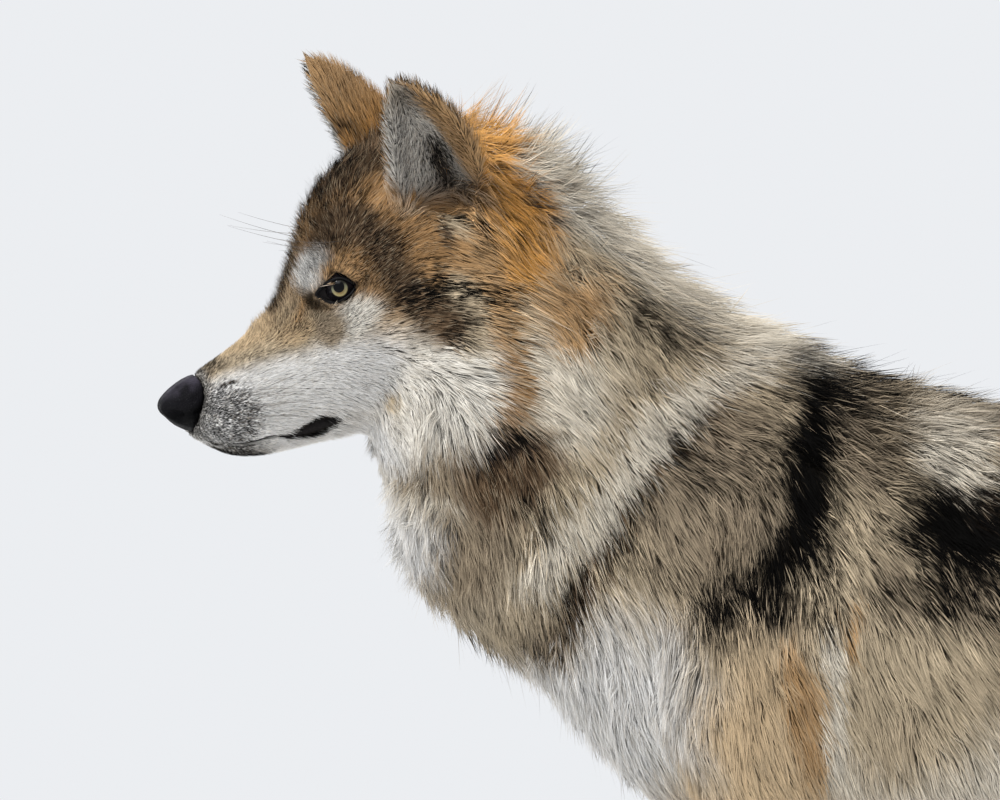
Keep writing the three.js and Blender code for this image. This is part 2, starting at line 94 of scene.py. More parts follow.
def to_body(p):
    return np.asarray(p, float) * 1000.0 - (TIP_X, MIDDLE_Y, 0.0)


def from_head(p):
    return from_body(np.asarray(p, float) @ HEAD.T + NOSE_TIP)


def to_head(p):
    return (to_body(p) - NOSE_TIP) @ HEAD


# ------------------------------------------------------------------ small numeric helpers
def unit(v):
    return v / np.maximum(np.linalg.norm(v, axis=-1, keepdims=True), 1e-12)


def step(low, high, x):
    """A smooth step from 0 at low to 1 at high."""
    t = np.clip((np.asarray(x, float) - low) / (high - low), 0.0, 1.0)
    return t * t * (3.0 - 2.0 * t)


def fade(low, high, x):
    """A smooth step from 1 at low to 0 at high."""
    return 1 - step(low, high, x)


def bell(x, middle, width):
    """1 at the middle, falling away smoothly on both sides of it."""
    return np.exp(-(((x - middle) / width) ** 2))


def blend(a, b, share):
    """Rows of a turned into b by each row's share of b."""
    return a * (1 - share)[:, None] + b * share[:, None]


def outward(degrees, side, rise=0.0):
    """A way in the head's frame, turned out from the nose to one side."""
    angle = math.radians(degrees)
    return np.array([-math.cos(angle), SIGN[side] * math.sin(angle), rise])


def linear(rgb):
    """sRGB 0..255 to the linear colour that shaders take."""
    c = np.asarray(rgb, float) / 255.0
    return np.where(c <= 0.04045, c / 12.92, ((c + 0.055) / 1.055) ** 2.4)


def lattice(ix, iy, iz, seed):
    h = (ix * 374761393 + iy * 668265263 + iz * 2147483647 + seed * 1274126177) & 0xFFFFFFFF
    h = ((h ^ (h >> 13)) * 1274126177) & 0xFFFFFFFF
    return ((h ^ (h >> 16)) & 0xFFFF) / 65535.0


def noise(p, size, seed=0):
    """Smooth value noise from -1 to 1 with features about size across."""
    q = np.asarray(p, float) / size
    cell = np.floor(q).astype(np.int64)
    f = q - cell
    f = f * f * (3.0 - 2.0 * f)
    total = np.zeros(len(q))
    for dx in (0, 1):
        for dy in (0, 1):
            for dz in (0, 1):
                w = (f[:, 0] if dx else 1 - f[:, 0]) * (f[:, 1] if dy else 1 - f[:, 1])
                w = w * (f[:, 2] if dz else 1 - f[:, 2])
                total += w * lattice(cell[:, 0] + dx, cell[:, 1] + dy, cell[:, 2] + dz, seed)
    return total * 2.0 - 1.0


# ------------------------------------------------------------------ the lie of the coat
# Each row: place, way the hair lies, its length, and how deep the coat is there. Rows off the middle hold on
# both sides.
BODY_LIE = [
    ((240, 0, 905), (0.85, 0, 0.15), 48, 26),
    ((262, 0, 892), (0.85, 0, 0.0), 56, 30),
    ((300, 0, 862), (0.85, 0, -0.4), 59, 30),
    ((350, 0, 818), (0.8, 0, -0.6), 62, 29),
    ((420, 0, 768), (0.86, 0, -0.5), 61, 27),
    ((490, 0, 734), (0.93, 0, -0.36), 55, 24),
    ((560, 0, 710), (1, 0, -0.15), 48, 20),
    ((700, 0, 703), (1, 0, 0.0), 45, 18),
    ((850, 0, 703), (1, 0, -0.06), 44, 18),
    ((980, 0, 680), (0.93, 0, -0.36), 42, 17),
    ((1055, 0, 636), (0.6, 0, -0.8), 39, 15),
    ((262, 75, 850), (0.42, 0.2, -0.88), 39, 20),
    ((285, 85, 800), (0.3, 0.1, -0.95), 41, 24),
    ((275, 108, 740), (0.2, 0.05, -0.97), 42, 25),
    ((350, 110, 730), (0.5, 0.05, -0.86), 48, 24),
    ((420, 95, 715), (0.6, 0.1, -0.8), 48, 22),
    ((240, 112, 650), (0.3, 0, -0.95), 47, 25),
    ((300, 115, 640), (0.36, 0, -0.93), 47, 24),
    ((160, 0, 620), (0.12, 0, -1), 44, 24),
    ((162, 60, 640), (0.2, 0.1, -1), 44, 24),
    ((160, 0, 690), (0.2, 0, -1), 33, 17),
    ((185, 90, 690), (0.35, 0.1, -0.9), 37, 19),
    ((200, 40, 560), (0.38, 0, -0.92), 47, 24),
    ((260, 60, 515), (0.45, -0.1, -0.88), 45, 22),
    ((330, 30, 440), (0.5, 0, -0.85), 41, 18),
    ((330, 90, 520), (0.38, -0.05, -0.92), 44, 21),
    ((370, 118, 600), (0.28, 0, -0.96), 44, 20),
    ((440, 122, 650), (0.3, 0, -0.95), 42, 19),
    ((430, 125, 560), (0.14, 0, -1), 36, 15),
    ((415, 118, 480), (0.05, 0, -1), 36, 10),
    ((445, 100, 420), (0.2, 0, -1), 38, 10),
    ((520, 105, 670), (0.75, 0.1, -0.65), 44, 19),
    ((520, 122, 560), (0.45, 0, -0.9), 44, 18),
    ((520, 118, 470), (0.3, -0.05, -0.95), 45, 17),
    ((620, 100, 655), (0.8, 0.1, -0.6), 44, 18),
    ((620, 120, 560), (0.62, 0, -0.78), 44, 18),
    ((600, 110, 460), (0.42, -0.1, -0.9), 45, 17),
    ((540, 0, 390), (0.85, 0, -0.25), 37, 14),
    ((720, 0, 425), (0.92, 0, -0.15), 36, 13),
    ((780, 0, 446), (0.92, 0, 0.1), 33, 11),
    ((790, 105, 600), (0.76, 0, -0.64), 42, 17),
    ((760, 100, 490), (0.58, -0.1, -0.8), 42, 15),
    ((760, 75, 672), (0.9, 0.1, -0.4), 43, 17),
    ((920, 88, 645), (0.68, 0, -0.73), 39, 15),
    ((935, 112, 560), (0.32, 0, -0.95), 34, 12),
    ((890, 108, 460), (0.12, 0, -1), 36, 9),
    ((1010, 90, 530), (0.35, -0.2, -0.9), 37, 13),
    ((1050, 40, 560), (0.4, 0.2, -0.9), 36, 13),
    ((870, 95, 400), (0.1, 0, -1), 26, 6),
    ((900, 60, 400), (0.2, 0, -1), 24, 6),
    ((920, 95, 310), (0.45, 0, -0.9), 19, 4.5),
    ((1000, 80, 240), (0.2, 0, -1), 15, 3.5),
    ((975, 85, 140), (-0.1, 0, -1), 11, 2.8),
    ((960, 72, 75), (-0.3, 0, -0.95), 10, 2.5),
    ((410, 90, 345), (0, 0, -1), 20, 4.5),
    ((450, 75, 360), (0.15, 0, -1), 30, 6.5),
    ((405, 85, 225), (0, 0, -1), 13, 3.4),
    ((403, 80, 150), (-0.05, 0, -1), 11, 2.8),
    ((390, 65, 85), (-0.3, 0, -0.95), 10, 2.5),
    ((365, 65, 45), (-0.9, 0, -0.4), 8, 2.2),
    ((340, 65, 22), (-1, 0, -0.5), 7, 2.0),
    ((925, 72, 42), (-0.9, 0, -0.4), 8, 2.2),
    ((905, 72, 20), (-1, 0, -0.5), 7, 2.0),
    ((1064, 0, 605), (0.45, 0, -0.9), 41, 15),
    ((1092, 3, 540), (0.22, 0, -1), 47, 22),
    ((1106, 7, 470), (0.08, 0, -1), 50, 26),
    ((1110, 11, 400), (-0.02, 0, -1), 50, 27),
    ((1104, 15, 330), (-0.15, 0, -1), 47, 24),
    ((1092, 18, 270), (-0.25, 0, -1), 41, 16),
]
HEAD_LIE = [
    ((14, 10, 6), (1, 0, 0.2), 3.5, 1.0),
    ((26, 0, 11), (1, 0, 0.1), 4.5, 1.3),
    ((45, 0, 14), (1, 0, 0.2), 6, 1.6),
    ((85, 0, 28), (1, 0, 0.4), 8, 2.0),
    ((118, 0, 52), (0.8, 0, 0.6), 15, 2.4),
    ((140, 0, 82), (0.75, 0, 0.7), 22, 3.0),
    ((175, 0, 108), (1, 0, 0.2), 27, 4.0),
    ((215, 0, 116), (1, 0, 0), 32, 9),
    ((245, 0, 112), (1, 0, -0.2), 46, 16),
    ((24, 18, -20), (1, 0.1, 0.1), 4.5, 1.3),
    ((40, 24, -15), (1, 0.1, 0.05), 6, 1.6),
    ((70, 28, -10), (1, 0.1, 0.05), 8, 2.0),
    ((50, 26, -38), (1, 0.05, -0.2), 6, 1.5),
    ((24, 0, -46), (0.9, 0, -0.4), 6, 1.4),
    ((70, 0, -62), (1, 0, -0.1), 9, 2.0),
    ((80, 24, -54), (1, 0, -0.2), 8, 2.0),
    ((125, 42, 12), (0.95, 0.35, -0.1), 9, 2.2),
    ((105, 32, 18), (1, 0.3, 0.15), 8, 2.0),
    ((140, 30, 60), (0.75, 0.25, 0.65), 11.5, 2.7),
    ((160, 56, 48), (0.9, 0.4, 0.2), 12, 3.0),
    ((185, 70, 68), (0.95, 0.2, 0.1), 16, 4.0),
    ((135, 48, -18), (0.88, 0.35, -0.3), 12, 3.0),
    ((165, 70, -8), (0.85, 0.35, -0.42), 20, 5.0),
    ((150, 50, -55), (0.8, 0.2, -0.6), 20, 5.0),
    ((120, 30, -62), (0.95, 0.1, -0.3), 13, 3.0),
    ((200, 88, 20), (0.7, 0.3, -0.65), 26, 7.5),
    ((215, 95, -30), (0.55, 0.3, -0.8), 40, 12),
    ((240, 92, 10), (0.3, 0.2, -0.95), 44, 15),
    ((190, 72, -75), (0.55, 0.1, -0.85), 40, 11),
    ((160, 0, -80), (0.8, 0, -0.6), 24, 6.0),
    ((222, 86, 48), (0.65, 0.25, -0.7), 26, 7),
    ((250, 78, 60), (0.45, 0.2, -0.87), 40, 13),
    ((190, 30, 100), (0.95, 0.2, 0.3), 20, 4.0),
]


def lie_table():
    """Places, ways, and (length, depth) of all the rows, on both sides, in scene metres."""
    places, ways, sizes = [], [], []
    for rows, place, way in (
        (BODY_LIE, from_body, lambda v: v),
        (HEAD_LIE, from_head, lambda v: HEAD @ v),
    ):
        for at, to, *size in rows:
            for side in (-1, 1) if at[1] or to[1] else (1,):
                flip = np.array([1, side, 1])
                places.append(place(np.array(at) * flip))
                ways.append(way(unit(np.array(to, float) * flip)))
                sizes.append(size)
    return np.array(places), np.array(ways), np.array(sizes, float) / 1000.0


LIE_AT, LIE_WAY, LIE_SIZE = lie_table()
AT_ONCE = 40000  # points worked on together, which keeps the arrays of distances small


def coat_at(p, normal):
    """The way that the coat lies at each point of the skin, along it, and its length and depth."""
    way, size = np.zeros((len(p), 3)), np.zeros((len(p), 2))
    for start in range(0, len(p), AT_ONCE):
        part = slice(start, start + AT_ONCE)
        d2 = ((p[part, None] - LIE_AT[None]) ** 2).sum(-1) + 1e-5
        w = 1.0 / d2**2
        w /= w.sum(1, keepdims=True)
        way[part] = w @ LIE_WAY
        size[part] = w @ LIE_SIZE
    way -= normal * (way * normal).sum(1, keepdims=True)
    return unit(way), size


# ------------------------------------------------------------------ meshes in and out of numpy
def arrays_of(mesh):
    v = np.zeros(len(mesh.vertices) * 3)
    mesh.vertices.foreach_get("co", v)
    mesh.calc_loop_triangles()
    f = np.zeros(len(mesh.loop_triangles) * 3, np.int32)
    mesh.loop_triangles.foreach_get("vertices", f)
    return v.reshape(-1, 3), f.reshape(-1, 3)


def mesh_from(name, v, f):
    mesh = bpy.data.meshes.new(name)
    mesh.vertices.add(len(v))
    mesh.vertices.foreach_set("co", np.asarray(v, np.float32).ravel())
    mesh.loops.add(len(f) * 3)
    mesh.loops.foreach_set("vertex_index", np.asarray(f, np.int32).ravel())
    mesh.polygons.add(len(f))
    mesh.polygons.foreach_set("loop_start", np.arange(0, len(f) * 3, 3, dtype=np.int32))
    mesh.update(calc_edges=True)
    return mesh


def add_object(name, mesh):
    obj = bpy.data.objects.new(name, mesh)
    bpy.context.scene.collection.objects.link(obj)
    return obj


def vertex_normals(v, f):
    n = np.cross(v[f[:, 1]] - v[f[:, 0]], v[f[:, 2]] - v[f[:, 0]])
    out = np.zeros_like(v)
    for k in range(3):
        for axis in range(3):
            out[:, axis] += np.bincount(f[:, k], n[:, axis], len(v))
    return unit(out)


def averaged(values, f, times, amount=1.0):
    """Values at vertices, each moved towards the mean of its neighbours."""
    e = np.concatenate([f[:, [0, 1]], f[:, [1, 2]], f[:, [2, 0]]])
    e = np.concatenate([e, e[:, ::-1]])
    count = np.maximum(np.bincount(e[:, 0], minlength=len(values)), 1)
    x = values.astype(float).copy()
    flat = x.ndim == 1
    x = x[:, None] if flat else x
    for _ in range(times):
        mean = np.stack([np.bincount(e[:, 0], x[e[:, 1], k], len(x)) for k in range(x.shape[1])], 1)
        x += (mean / count[:, None] - x) * amount
    return x[:, 0] if flat else x


def faired(v, f, times):
    """Smooths facets away without shrinking the form."""
    for _ in range(times):
        v = averaged(v, f, 1, 0.6)
        v = averaged(v, f, 1, -0.62)
    return v


def modified(v, f, kind, coarse=(), **settings):
    """A mesh put through one modifier; coarse lists the vertices in the modifier's group."""
    obj = add_object("work", mesh_from("work", v, f))
    if len(coarse):
        obj.vertex_groups.new(name="coarse").add(coarse, 1.0, "REPLACE")
    mod = obj.modifiers.new("work", kind)
    for key, value in settings.items():
        setattr(mod, key, value)
    mesh = bpy.data.meshes.new_from_object(obj.evaluated_get(bpy.context.evaluated_depsgraph_get()))
    bpy.data.objects.remove(obj)
    return taken(mesh)


def taken(mesh):
    """A mesh's arrays; the mesh itself is removed."""
    out = arrays_of(mesh)
    bpy.data.meshes.remove(mesh)
    return out


def edited(mesh, edit):
    """A mesh changed by what edit does to its bmesh."""
    work = bmesh.new()
    work.from_mesh(mesh)
    edit(work)
    work.to_mesh(mesh)
    work.free()
    return mesh


def remeshed(v, f, size):
    return largest(*modified(v, f, "REMESH", mode="VOXEL", voxel_size=size))


def largest(v, f):
    """The biggest connected part of a mesh."""
    label = np.arange(len(v))
    while True:
        low = label[f].min(1)
        new = label.copy()
        for k in range(3):
            np.minimum.at(new, f[:, k], low)
        new = new[new]
        if (new == label).all():
            break
        label = new
    best = np.bincount(label).argmax()
    keep = label == best
    index = np.cumsum(keep) - 1
    return v[keep], index[f[keep[f[:, 0]]]]


def tree_of(v, f):
    return BVHTree.FromPolygons(v.tolist(), f.tolist())


def nearest(tree, p):
    """For each point, the nearest place on a tree's surface, its face, and how far off it is."""
    found = [tree.find_nearest(Vector(q)) for q in p.tolist()]
    return [np.array([one[k] for one in found]) for k in (0, 2, 3)]


# ------------------------------------------------------------------ the skin
FLESH = [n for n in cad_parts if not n.startswith(("claw", "eye", "nose"))]
SWELL = 0.0009  # metres that close the cuts between the solids


def weld(work):
    bmesh.ops.remove_doubles(work, verts=work.verts, dist=2e-5)


def solids():
    """All the flesh solids, a little swollen so that they join, and the node of each triangle."""
    vs, fs, who, count = [], [], [], 0
    for i, name in enumerate(FLESH):
        v, f = taken(edited(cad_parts[name].data.copy(), weld))
        vs.append(v + vertex_normals(v, f) * SWELL)
        fs.append(f + count)
        who.append(np.full(len(f), i))
        count += len(v)
    return np.concatenate(vs), np.concatenate(fs), np.concatenate(who)


SOLID_V, SOLID_F, SOLID_WHO = solids()
EYES = {side: np.array([142, s * 35.5, 38.5]) for side, s in SIGN.items()}
EYE_RADIUS = 12.0


def sunk(v, f):
    """The surface moved in by the coat's depth, but never more than a thin part can take."""
    normal = unit(averaged(vertex_normals(v, f), f, 6))
    depth = coat_at(v, normal)[1][:, 1]
    tree = tree_of(v, f)
    inside, farthest = 0.0015, 0.12  # metres in from the surface that each ray starts, and how far it looks
    room = np.full(len(v), 0.3)  # metres, where a ray meets nothing
    for i, (p, n) in enumerate(zip(v.tolist(), (-normal).tolist())):
        hit = tree.ray_cast(Vector(p) + Vector(n) * inside, Vector(n), farthest)
        if hit[0] is not None:
            room[i] = hit[3] + inside
    most = averaged(room, f, 2) * 0.3  # of the thickness
    ear, ear_depth = ear_share(v), 0.0010
    depth = np.minimum(depth, most) * (1 - ear) + ear_depth * ear
    return v - normal * averaged(depth, f, 8)[:, None]


# Each ear's middle of the base and its tip, in head places, and the turn of its opening out from the nose.
EARS = {
    "left": (np.array([216, -64, 60.0]), np.array([211, -80, 172.0]), 64.0),
    "right": (np.array([224, 60, 66.0]), np.array([194, 68, 179.0]), 44.0),
}
EAR_TREES = {side: tree_of(*arrays_of(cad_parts[f"ear_{side}"].data)) for side in EARS}


def ear_share(p):
    """How much each point belongs to an ear, from 0 to 1."""
    share = np.zeros(len(p))
    h = to_head(p)
    for side, (base, tip, _) in EARS.items():
        axis = unit(tip - base)
        along = (h - base) @ axis
        off = np.linalg.norm(h - base - along[:, None] * axis, axis=1)
        near = np.flatnonzero((along > -5) & (off < 60))
        if len(near):
            far = nearest(EAR_TREES[side], p[near])[2] * 1000
            share[near] = np.maximum(share[near], fade(3.0, 7.0, far) * step(8, 26, along[near]))
    return share


def ear_parts(head, ear):
    """Each ear's base, tip, way of its opening, and every point's share of it."""
    for side, (base, tip, turned) in EARS.items():
        yield base, tip, outward(turned, side), ear * (head[:, 1] * SIGN[side] > 0)


def thinned(v, f):
    """Fewer facets where the coat is long; the head, ears and paws keep theirs."""
    h, b = to_head(v), to_body(v)
    fine = (h[:, 0] < 235) & (b[:, 2] > 560) & (b[:, 0] < 330) | (b[:, 2] < 60)
    dropped = 0.86  # of the facets outside the fine part
    ratio = 1 - (~fine[f[:, 0]]).mean() * dropped
    return modified(v, f, "DECIMATE", np.flatnonzero(~fine).tolist(), vertex_group="coarse", ratio=ratio)


# The closed mouth's line on each side of the face, from the front to its corner.
MOUTH = [
    (20, 9, -37), (25, 12, -40.4), (32, 18, -44), (40, 22, -47.6), (51, 25, -50), (62, 27, -50.3),
    (77, 29, -50.5), (94, 31, -50), (111, 34, -49),
]


def to_line(p, line):
    """Distance from points to a line of several parts, and how far along it the nearest place is."""
    best, along, run = np.full(len(p), 1e9), np.zeros(len(p)), 0.0
    for a, b in zip(line[:-1], line[1:]):
        t = np.clip(((p - a) @ (b - a)) / ((b - a) @ (b - a)), 0, 1)
        d = np.linalg.norm(p - a - t[:, None] * (b - a), axis=1)
        near = d < best
        best = np.where(near, d, best)
        along = np.where(near, run + t, along)
        run += 1
    return best, along / run


def fitted(line, v, f):
    """A line of the face laid on the skin, in head places, for the left side and the right."""
    tree = tree_of(v, f)
    sides = [from_head(np.array(line, float) * (1, side, 1)) for side in (-1, 1)]
    return [to_head(nearest(tree, places)[0]) for places in sides]


def refine(v, f, wanted):
    """Splits the edges of the wanted faces once."""

    def split(work):
        work.faces.ensure_lookup_table()
        edges = {e.index: e for i in np.flatnonzero(wanted).tolist() for e in work.faces[i].edges}
        bmesh.ops.subdivide_edges(work, edges=list(edges.values()), cuts=1, use_grid_fill=True)
        bmesh.ops.triangulate(work, faces=work.faces)

    return taken(edited(mesh_from("work", v, f), split))


# The eye's own frame is out of the head, back along its opening, and up across it, from the ball's centre.
EYE_TURN, EYE_RISE = 65.0, 0.15  # the way out: degrees from the nose, and its rise
# The edge of the lids, (back, up) round the opening from the inner corner over the top.
LID_EDGE = [
    (-17.6, 0.0), (-13.2, 3.6), (-8.8, 5.8), (-4, 7.0), (0.2, 7.3), (4.4, 6.1), (7.7, 3.6), (10.7, -1.2),
    (7.6, -4.9), (3.2, -7.1), (-2, -8.4), (-6.8, -8.6), (-10.6, -6.9), (-14.2, -4.0),
]
INNER_CORNER, OUTER_CORNER = 6.4, 5.4  # how far out of the head the two corners lie


def smooth_loop(points, steps):
    """A closed curve through the points."""
    p = np.array(points, float)
    t = np.linspace(0, 1, steps, endpoint=False)[:, None]
    a, b, c, d = (np.roll(p, k, 0)[:, None] for k in (1, 0, -1, -2))
    curve = 2 * b + (c - a) * t + (2 * a - 5 * b + 4 * c - d) * t**2 + (3 * b - a - 3 * c + d) * t**3
    return 0.5 * curve.reshape(-1, p.shape[1])


LID_LOOP = smooth_loop(LID_EDGE, 6)


def eye_frame(side):
    """The ways out, back and up of an eye's own frame, as rows."""
    angle = math.radians(EYE_TURN)
    out = unit(outward(EYE_TURN, side, EYE_RISE))
    back = np.array([math.sin(angle), SIGN[side] * math.cos(angle), 0.0])
    back = unit(back - out * (back @ out))
    up = np.cross(out, back)
    return np.array([out, back, up * np.sign(up[2])])


def shell(plane, extra):
    """How far out the lids' own surface lies: over the ball, running out to the two corners."""
    r2 = (plane**2).sum(1)
    ball = np.sqrt(np.maximum((EYE_RADIUS + extra) ** 2 - r2, 0.0))
    corner = np.where(plane[:, 0] < 0, INNER_CORNER, OUTER_CORNER)
    gap = ball - corner
    return corner + 0.5 * (gap + np.sqrt(gap**2 + 4.0))


def lid_distance(plane):
    """Distance from the lids' edge, less than 0 in the opening, and the nearest place on the edge."""
    tree = KDTree(len(LID_LOOP))
    for i, p in enumerate(LID_LOOP):
        tree.insert((p[0], p[1], 0), i)
    tree.balance()
    closest = LID_LOOP[np.array([tree.find((a, b, 0))[1] for a, b in plane])]
    ends = np.roll(LID_LOOP, -1, 0)
    inside = np.zeros(len(plane), bool)
    for (x1, y1), (x2, y2) in zip(LID_LOOP, ends):
        crosses = (y1 > plane[:, 1]) != (y2 > plane[:, 1])
        at = x1 + (plane[:, 1] - y1) / (y2 - y1 if y2 != y1 else 1e-9) * (x2 - x1)
        inside ^= crosses & (plane[:, 0] < at)
    d = np.linalg.norm(plane - closest, axis=1)
    return np.where(inside, -d, d), closest


def shape_lids(v):
    """Fits the skin over the eyeballs, with an opening between two lids."""
    h = to_head(v)
    for side, centre in EYES.items():
        axes = eye_frame(side)
        q = (h - centre) @ axes.T
        near = np.flatnonzero((q[:, 0] > -6) & (np.abs(q[:, 1] + 3) < 32) & (np.abs(q[:, 2]) < 26))
        plane = q[near, 1:]
        d, closest = lid_distance(plane)
        edge = shell(closest, 1.0)
        share = step(0.0, 11.0, d)
        fold = 0.9 * bell(d, 2.2, 1.8) - 0.9 * bell(d, 5.5, 1.6) * (plane[:, 1] > 0)
        outside = edge * (1 - share) + q[near, 0] * share + fold
        ball = np.hypot(plane[:, 0], plane[:, 1]) < 11.0
        inside = np.where(ball, 3.0, shell(plane, 1.0) - 1.6)
        q[near, 0] = np.where(d < 0, inside, outside)
        h[near] = q[near] @ axes + centre
    return from_head(h)


def shape_mouth(v, f):
    """A groove where the lips meet, and the soft fold at its corner."""
    h = to_head(v)
    normal = vertex_normals(v, f) @ HEAD
    for line in fitted(MOUTH, v, f):
        d, along = to_line(h, line)
        depth = 2.2 * bell(d, 0, 2.0) + 0.8 * bell(d, 0, 5.0) * step(0.6, 1, along)
        h = h - normal * depth[:, None]
    return from_head(h)


def make_skin():
    """One closed skin under the coat, with its lids and mouth."""
    first, last = 0.0036, 0.0029  # metres between the vertices of each remesh
    v, f = remeshed(SOLID_V, SOLID_F, first)
    v = sunk(faired(v, f, 7), f)
    v, f = remeshed(v, f, last)
    v, f = thinned(faired(v, f, 7), f)
    for reach, mouth in ((32, 9), (24, 5)):  # mm from the eyes and the mouth's line where facets are split
        middle = to_head(v)[f].mean(1)
        close = np.zeros(len(f), bool)
        for centre, line in zip(EYES.values(), fitted(MOUTH, v, f)):
            close |= np.linalg.norm(middle - centre, axis=1) < reach
            close |= to_line(middle, line)[0] < mouth
        v, f = refine(v, f, close)
        v = faired(v, f, 2)
    v = shape_lids(v)
    v = shape_mouth(v, f)
    return v, f


def dress_ears():
    """The skin's way and size of hair, with the ears' hair laid up along them and shorter inside."""
    way, opening = SKIN_WAY, np.zeros(len(SKIN_V))
    for base, tip, open_way, mine in ear_parts(to_head(SKIN_V), EAR):
        rise = HEAD @ unit(tip - base)
        rise = rise - SKIN_N * (SKIN_N @ rise)[:, None]
        way = blend(way, unit(rise), mine)
        opening = np.maximum(opening, mine * step(-0.05, 0.3, SKIN_N @ (HEAD @ open_way)))
    size = blend(np.array([0.020, 0.0075]), np.array([0.014, 0.0055]), opening)
    return unit(way), blend(SKIN_SIZE, size, EAR)


SKIN_V, SKIN_F = make_skin()
LIPS = fitted(MOUTH, SKIN_V, SKIN_F)
SKIN_N = vertex_normals(SKIN_V, SKIN_F)
SKIN_TREE = tree_of(SKIN_V, SKIN_F)
SKIN_WAY, SKIN_SIZE = coat_at(SKIN_V, unit(averaged(SKIN_N, SKIN_F, 4)))
SKIN_NODE = np.array(FLESH)[SOLID_WHO[nearest(tree_of(SOLID_V, SOLID_F), SKIN_V)[1]]]
EAR = ear_share(SKIN_V)
SKIN_WAY, SKIN_SIZE = dress_ears()

# ------------------------------------------------------------------ markings
HAIR = {  # colours of the hair, sRGB
    "white": (233, 231, 227),
    "pale": (229, 223, 211),
    "cream": (224, 214, 196),
    "ash": (176, 172, 166),
    "sand": (192, 174, 146),
    "grey": (154, 138, 116),
    "buff": (206, 180, 144),
    # Partly the nape's own orange, partly a painted highlight where light from behind brightens it.
    "backlit_gold": (238, 178, 102),
    "orange": (210, 152, 80),
    "tan": (190, 152, 108),
    "tawny": (160, 124, 84),
    "brown": (104, 84, 64),
    "dark": (64, 53, 44),
    "black": (11, 10, 9),
    "inner": (206, 200, 190),
}
# Each mark in body places: its middle, half sizes (0 where it goes right through), hair, share of dark tips.
MARKS = [
    # the trunk and legs, the same on both sides
    ((700, 0, 560), (360, 0, 150), "sand", 0.45),
    ((700, 0, 425), (320, 0, 55), "cream", 0.12),
    ((1000, 0, 600), (95, 0, 90), "sand", 0.5),
    ((940, 105, 480), (95, 60, 110), "buff", 0.3),
    ((940, 40, 430), (110, 38, 120), "cream", 0.05),
    ((960, 0, 190), (120, 0, 210), "buff", 0.04),
    ((410, 0, 210), (90, 0, 230), "buff", 0.04),
    ((900, 0, 25), (90, 0, 40), "cream", 0.0),
    ((350, 0, 25), (90, 0, 40), "cream", 0.0),
    ((1100, 0, 430), (70, 0, 190), "sand", 0.55),
    ((1100, 0, 555), (26, 0, 32), "dark", 0.9),
    ((1092, 0, 262), (60, 0, 60), "black", 1.0),
    # the neck and chest
    ((330, 0, 745), (100, 0, 105), "sand", 0.45),
    ((180, 0, 620), (75, 0, 120), "cream", 0.06),
    ((290, 0, 640), (60, 0, 80), "sand", 0.25),
    ((322, 0, 478), (66, 0, 74), "white", 0.02),
    ((288, 0, 704), (35, 0, 48), "cream", 0.16),
    ((246, 0, 722), (12, 0, 55), "tawny", 0.3),
    ((228, 0, 590), (28, 0, 44), "grey", 0.25),
    ((214, 0, 652), (36, 0, 19), "grey", 0.45),
    ((250, 0, 646), (32, 0, 38), "brown", 0.33),
    ((254, 0, 664), (15, 0, 11), "dark", 0.62),
    ((286, 0, 538), (15, 0, 15), "grey", 0.5),
    ((170, 0, 600), (16, 0, 52), "white", 0.02),
    ((232, 0, 520), (34, 0, 16), "cream", 0.06),
    ((256, 0, 850), (42, 0, 70), "orange", 0.0),
    # Painted highlight over the nape's orange: the backlit top of the mane.
    ((240, 0, 872), (24, 0, 24), "backlit_gold", 0.0),
    ((256, 0, 803), (22, 0, 40), "orange", 0.42),
    ((241, 0, 818), (9, 0, 22), "orange", 0.45),
    ((292, 0, 752), (28, 0, 26), "tan", 0.2),
    ((182, 0, 590), (28, 0, 34), "white", 0.03),
    # the shoulder, foreleg and side
    ((388, 0, 625), (62, 0, 72), "grey", 0.44),
    ((505, 0, 668), (36, 0, 44), "grey", 0.7),
    ((566, 0, 668), (32, 0, 44), "cream", 0.25),
    ((486, 0, 580), (22, 0, 52), "sand", 0.3),
    ((506, 0, 562), (17, 0, 26), "grey", 0.62),
    ((570, 0, 604), (56, 0, 28), "black", 1.0),
    ((560, 0, 556), (52, 0, 26), "grey", 0.75),
    ((410, 0, 552), (40, 0, 20), "grey", 0.8),
    ((422, 0, 455), (44, 0, 78), "buff", 0.02),
    ((446, 0, 480), (12, 0, 56), "tan", 0.02),
    ((525, 0, 490), (60, 0, 62), "sand", 0.15),
]
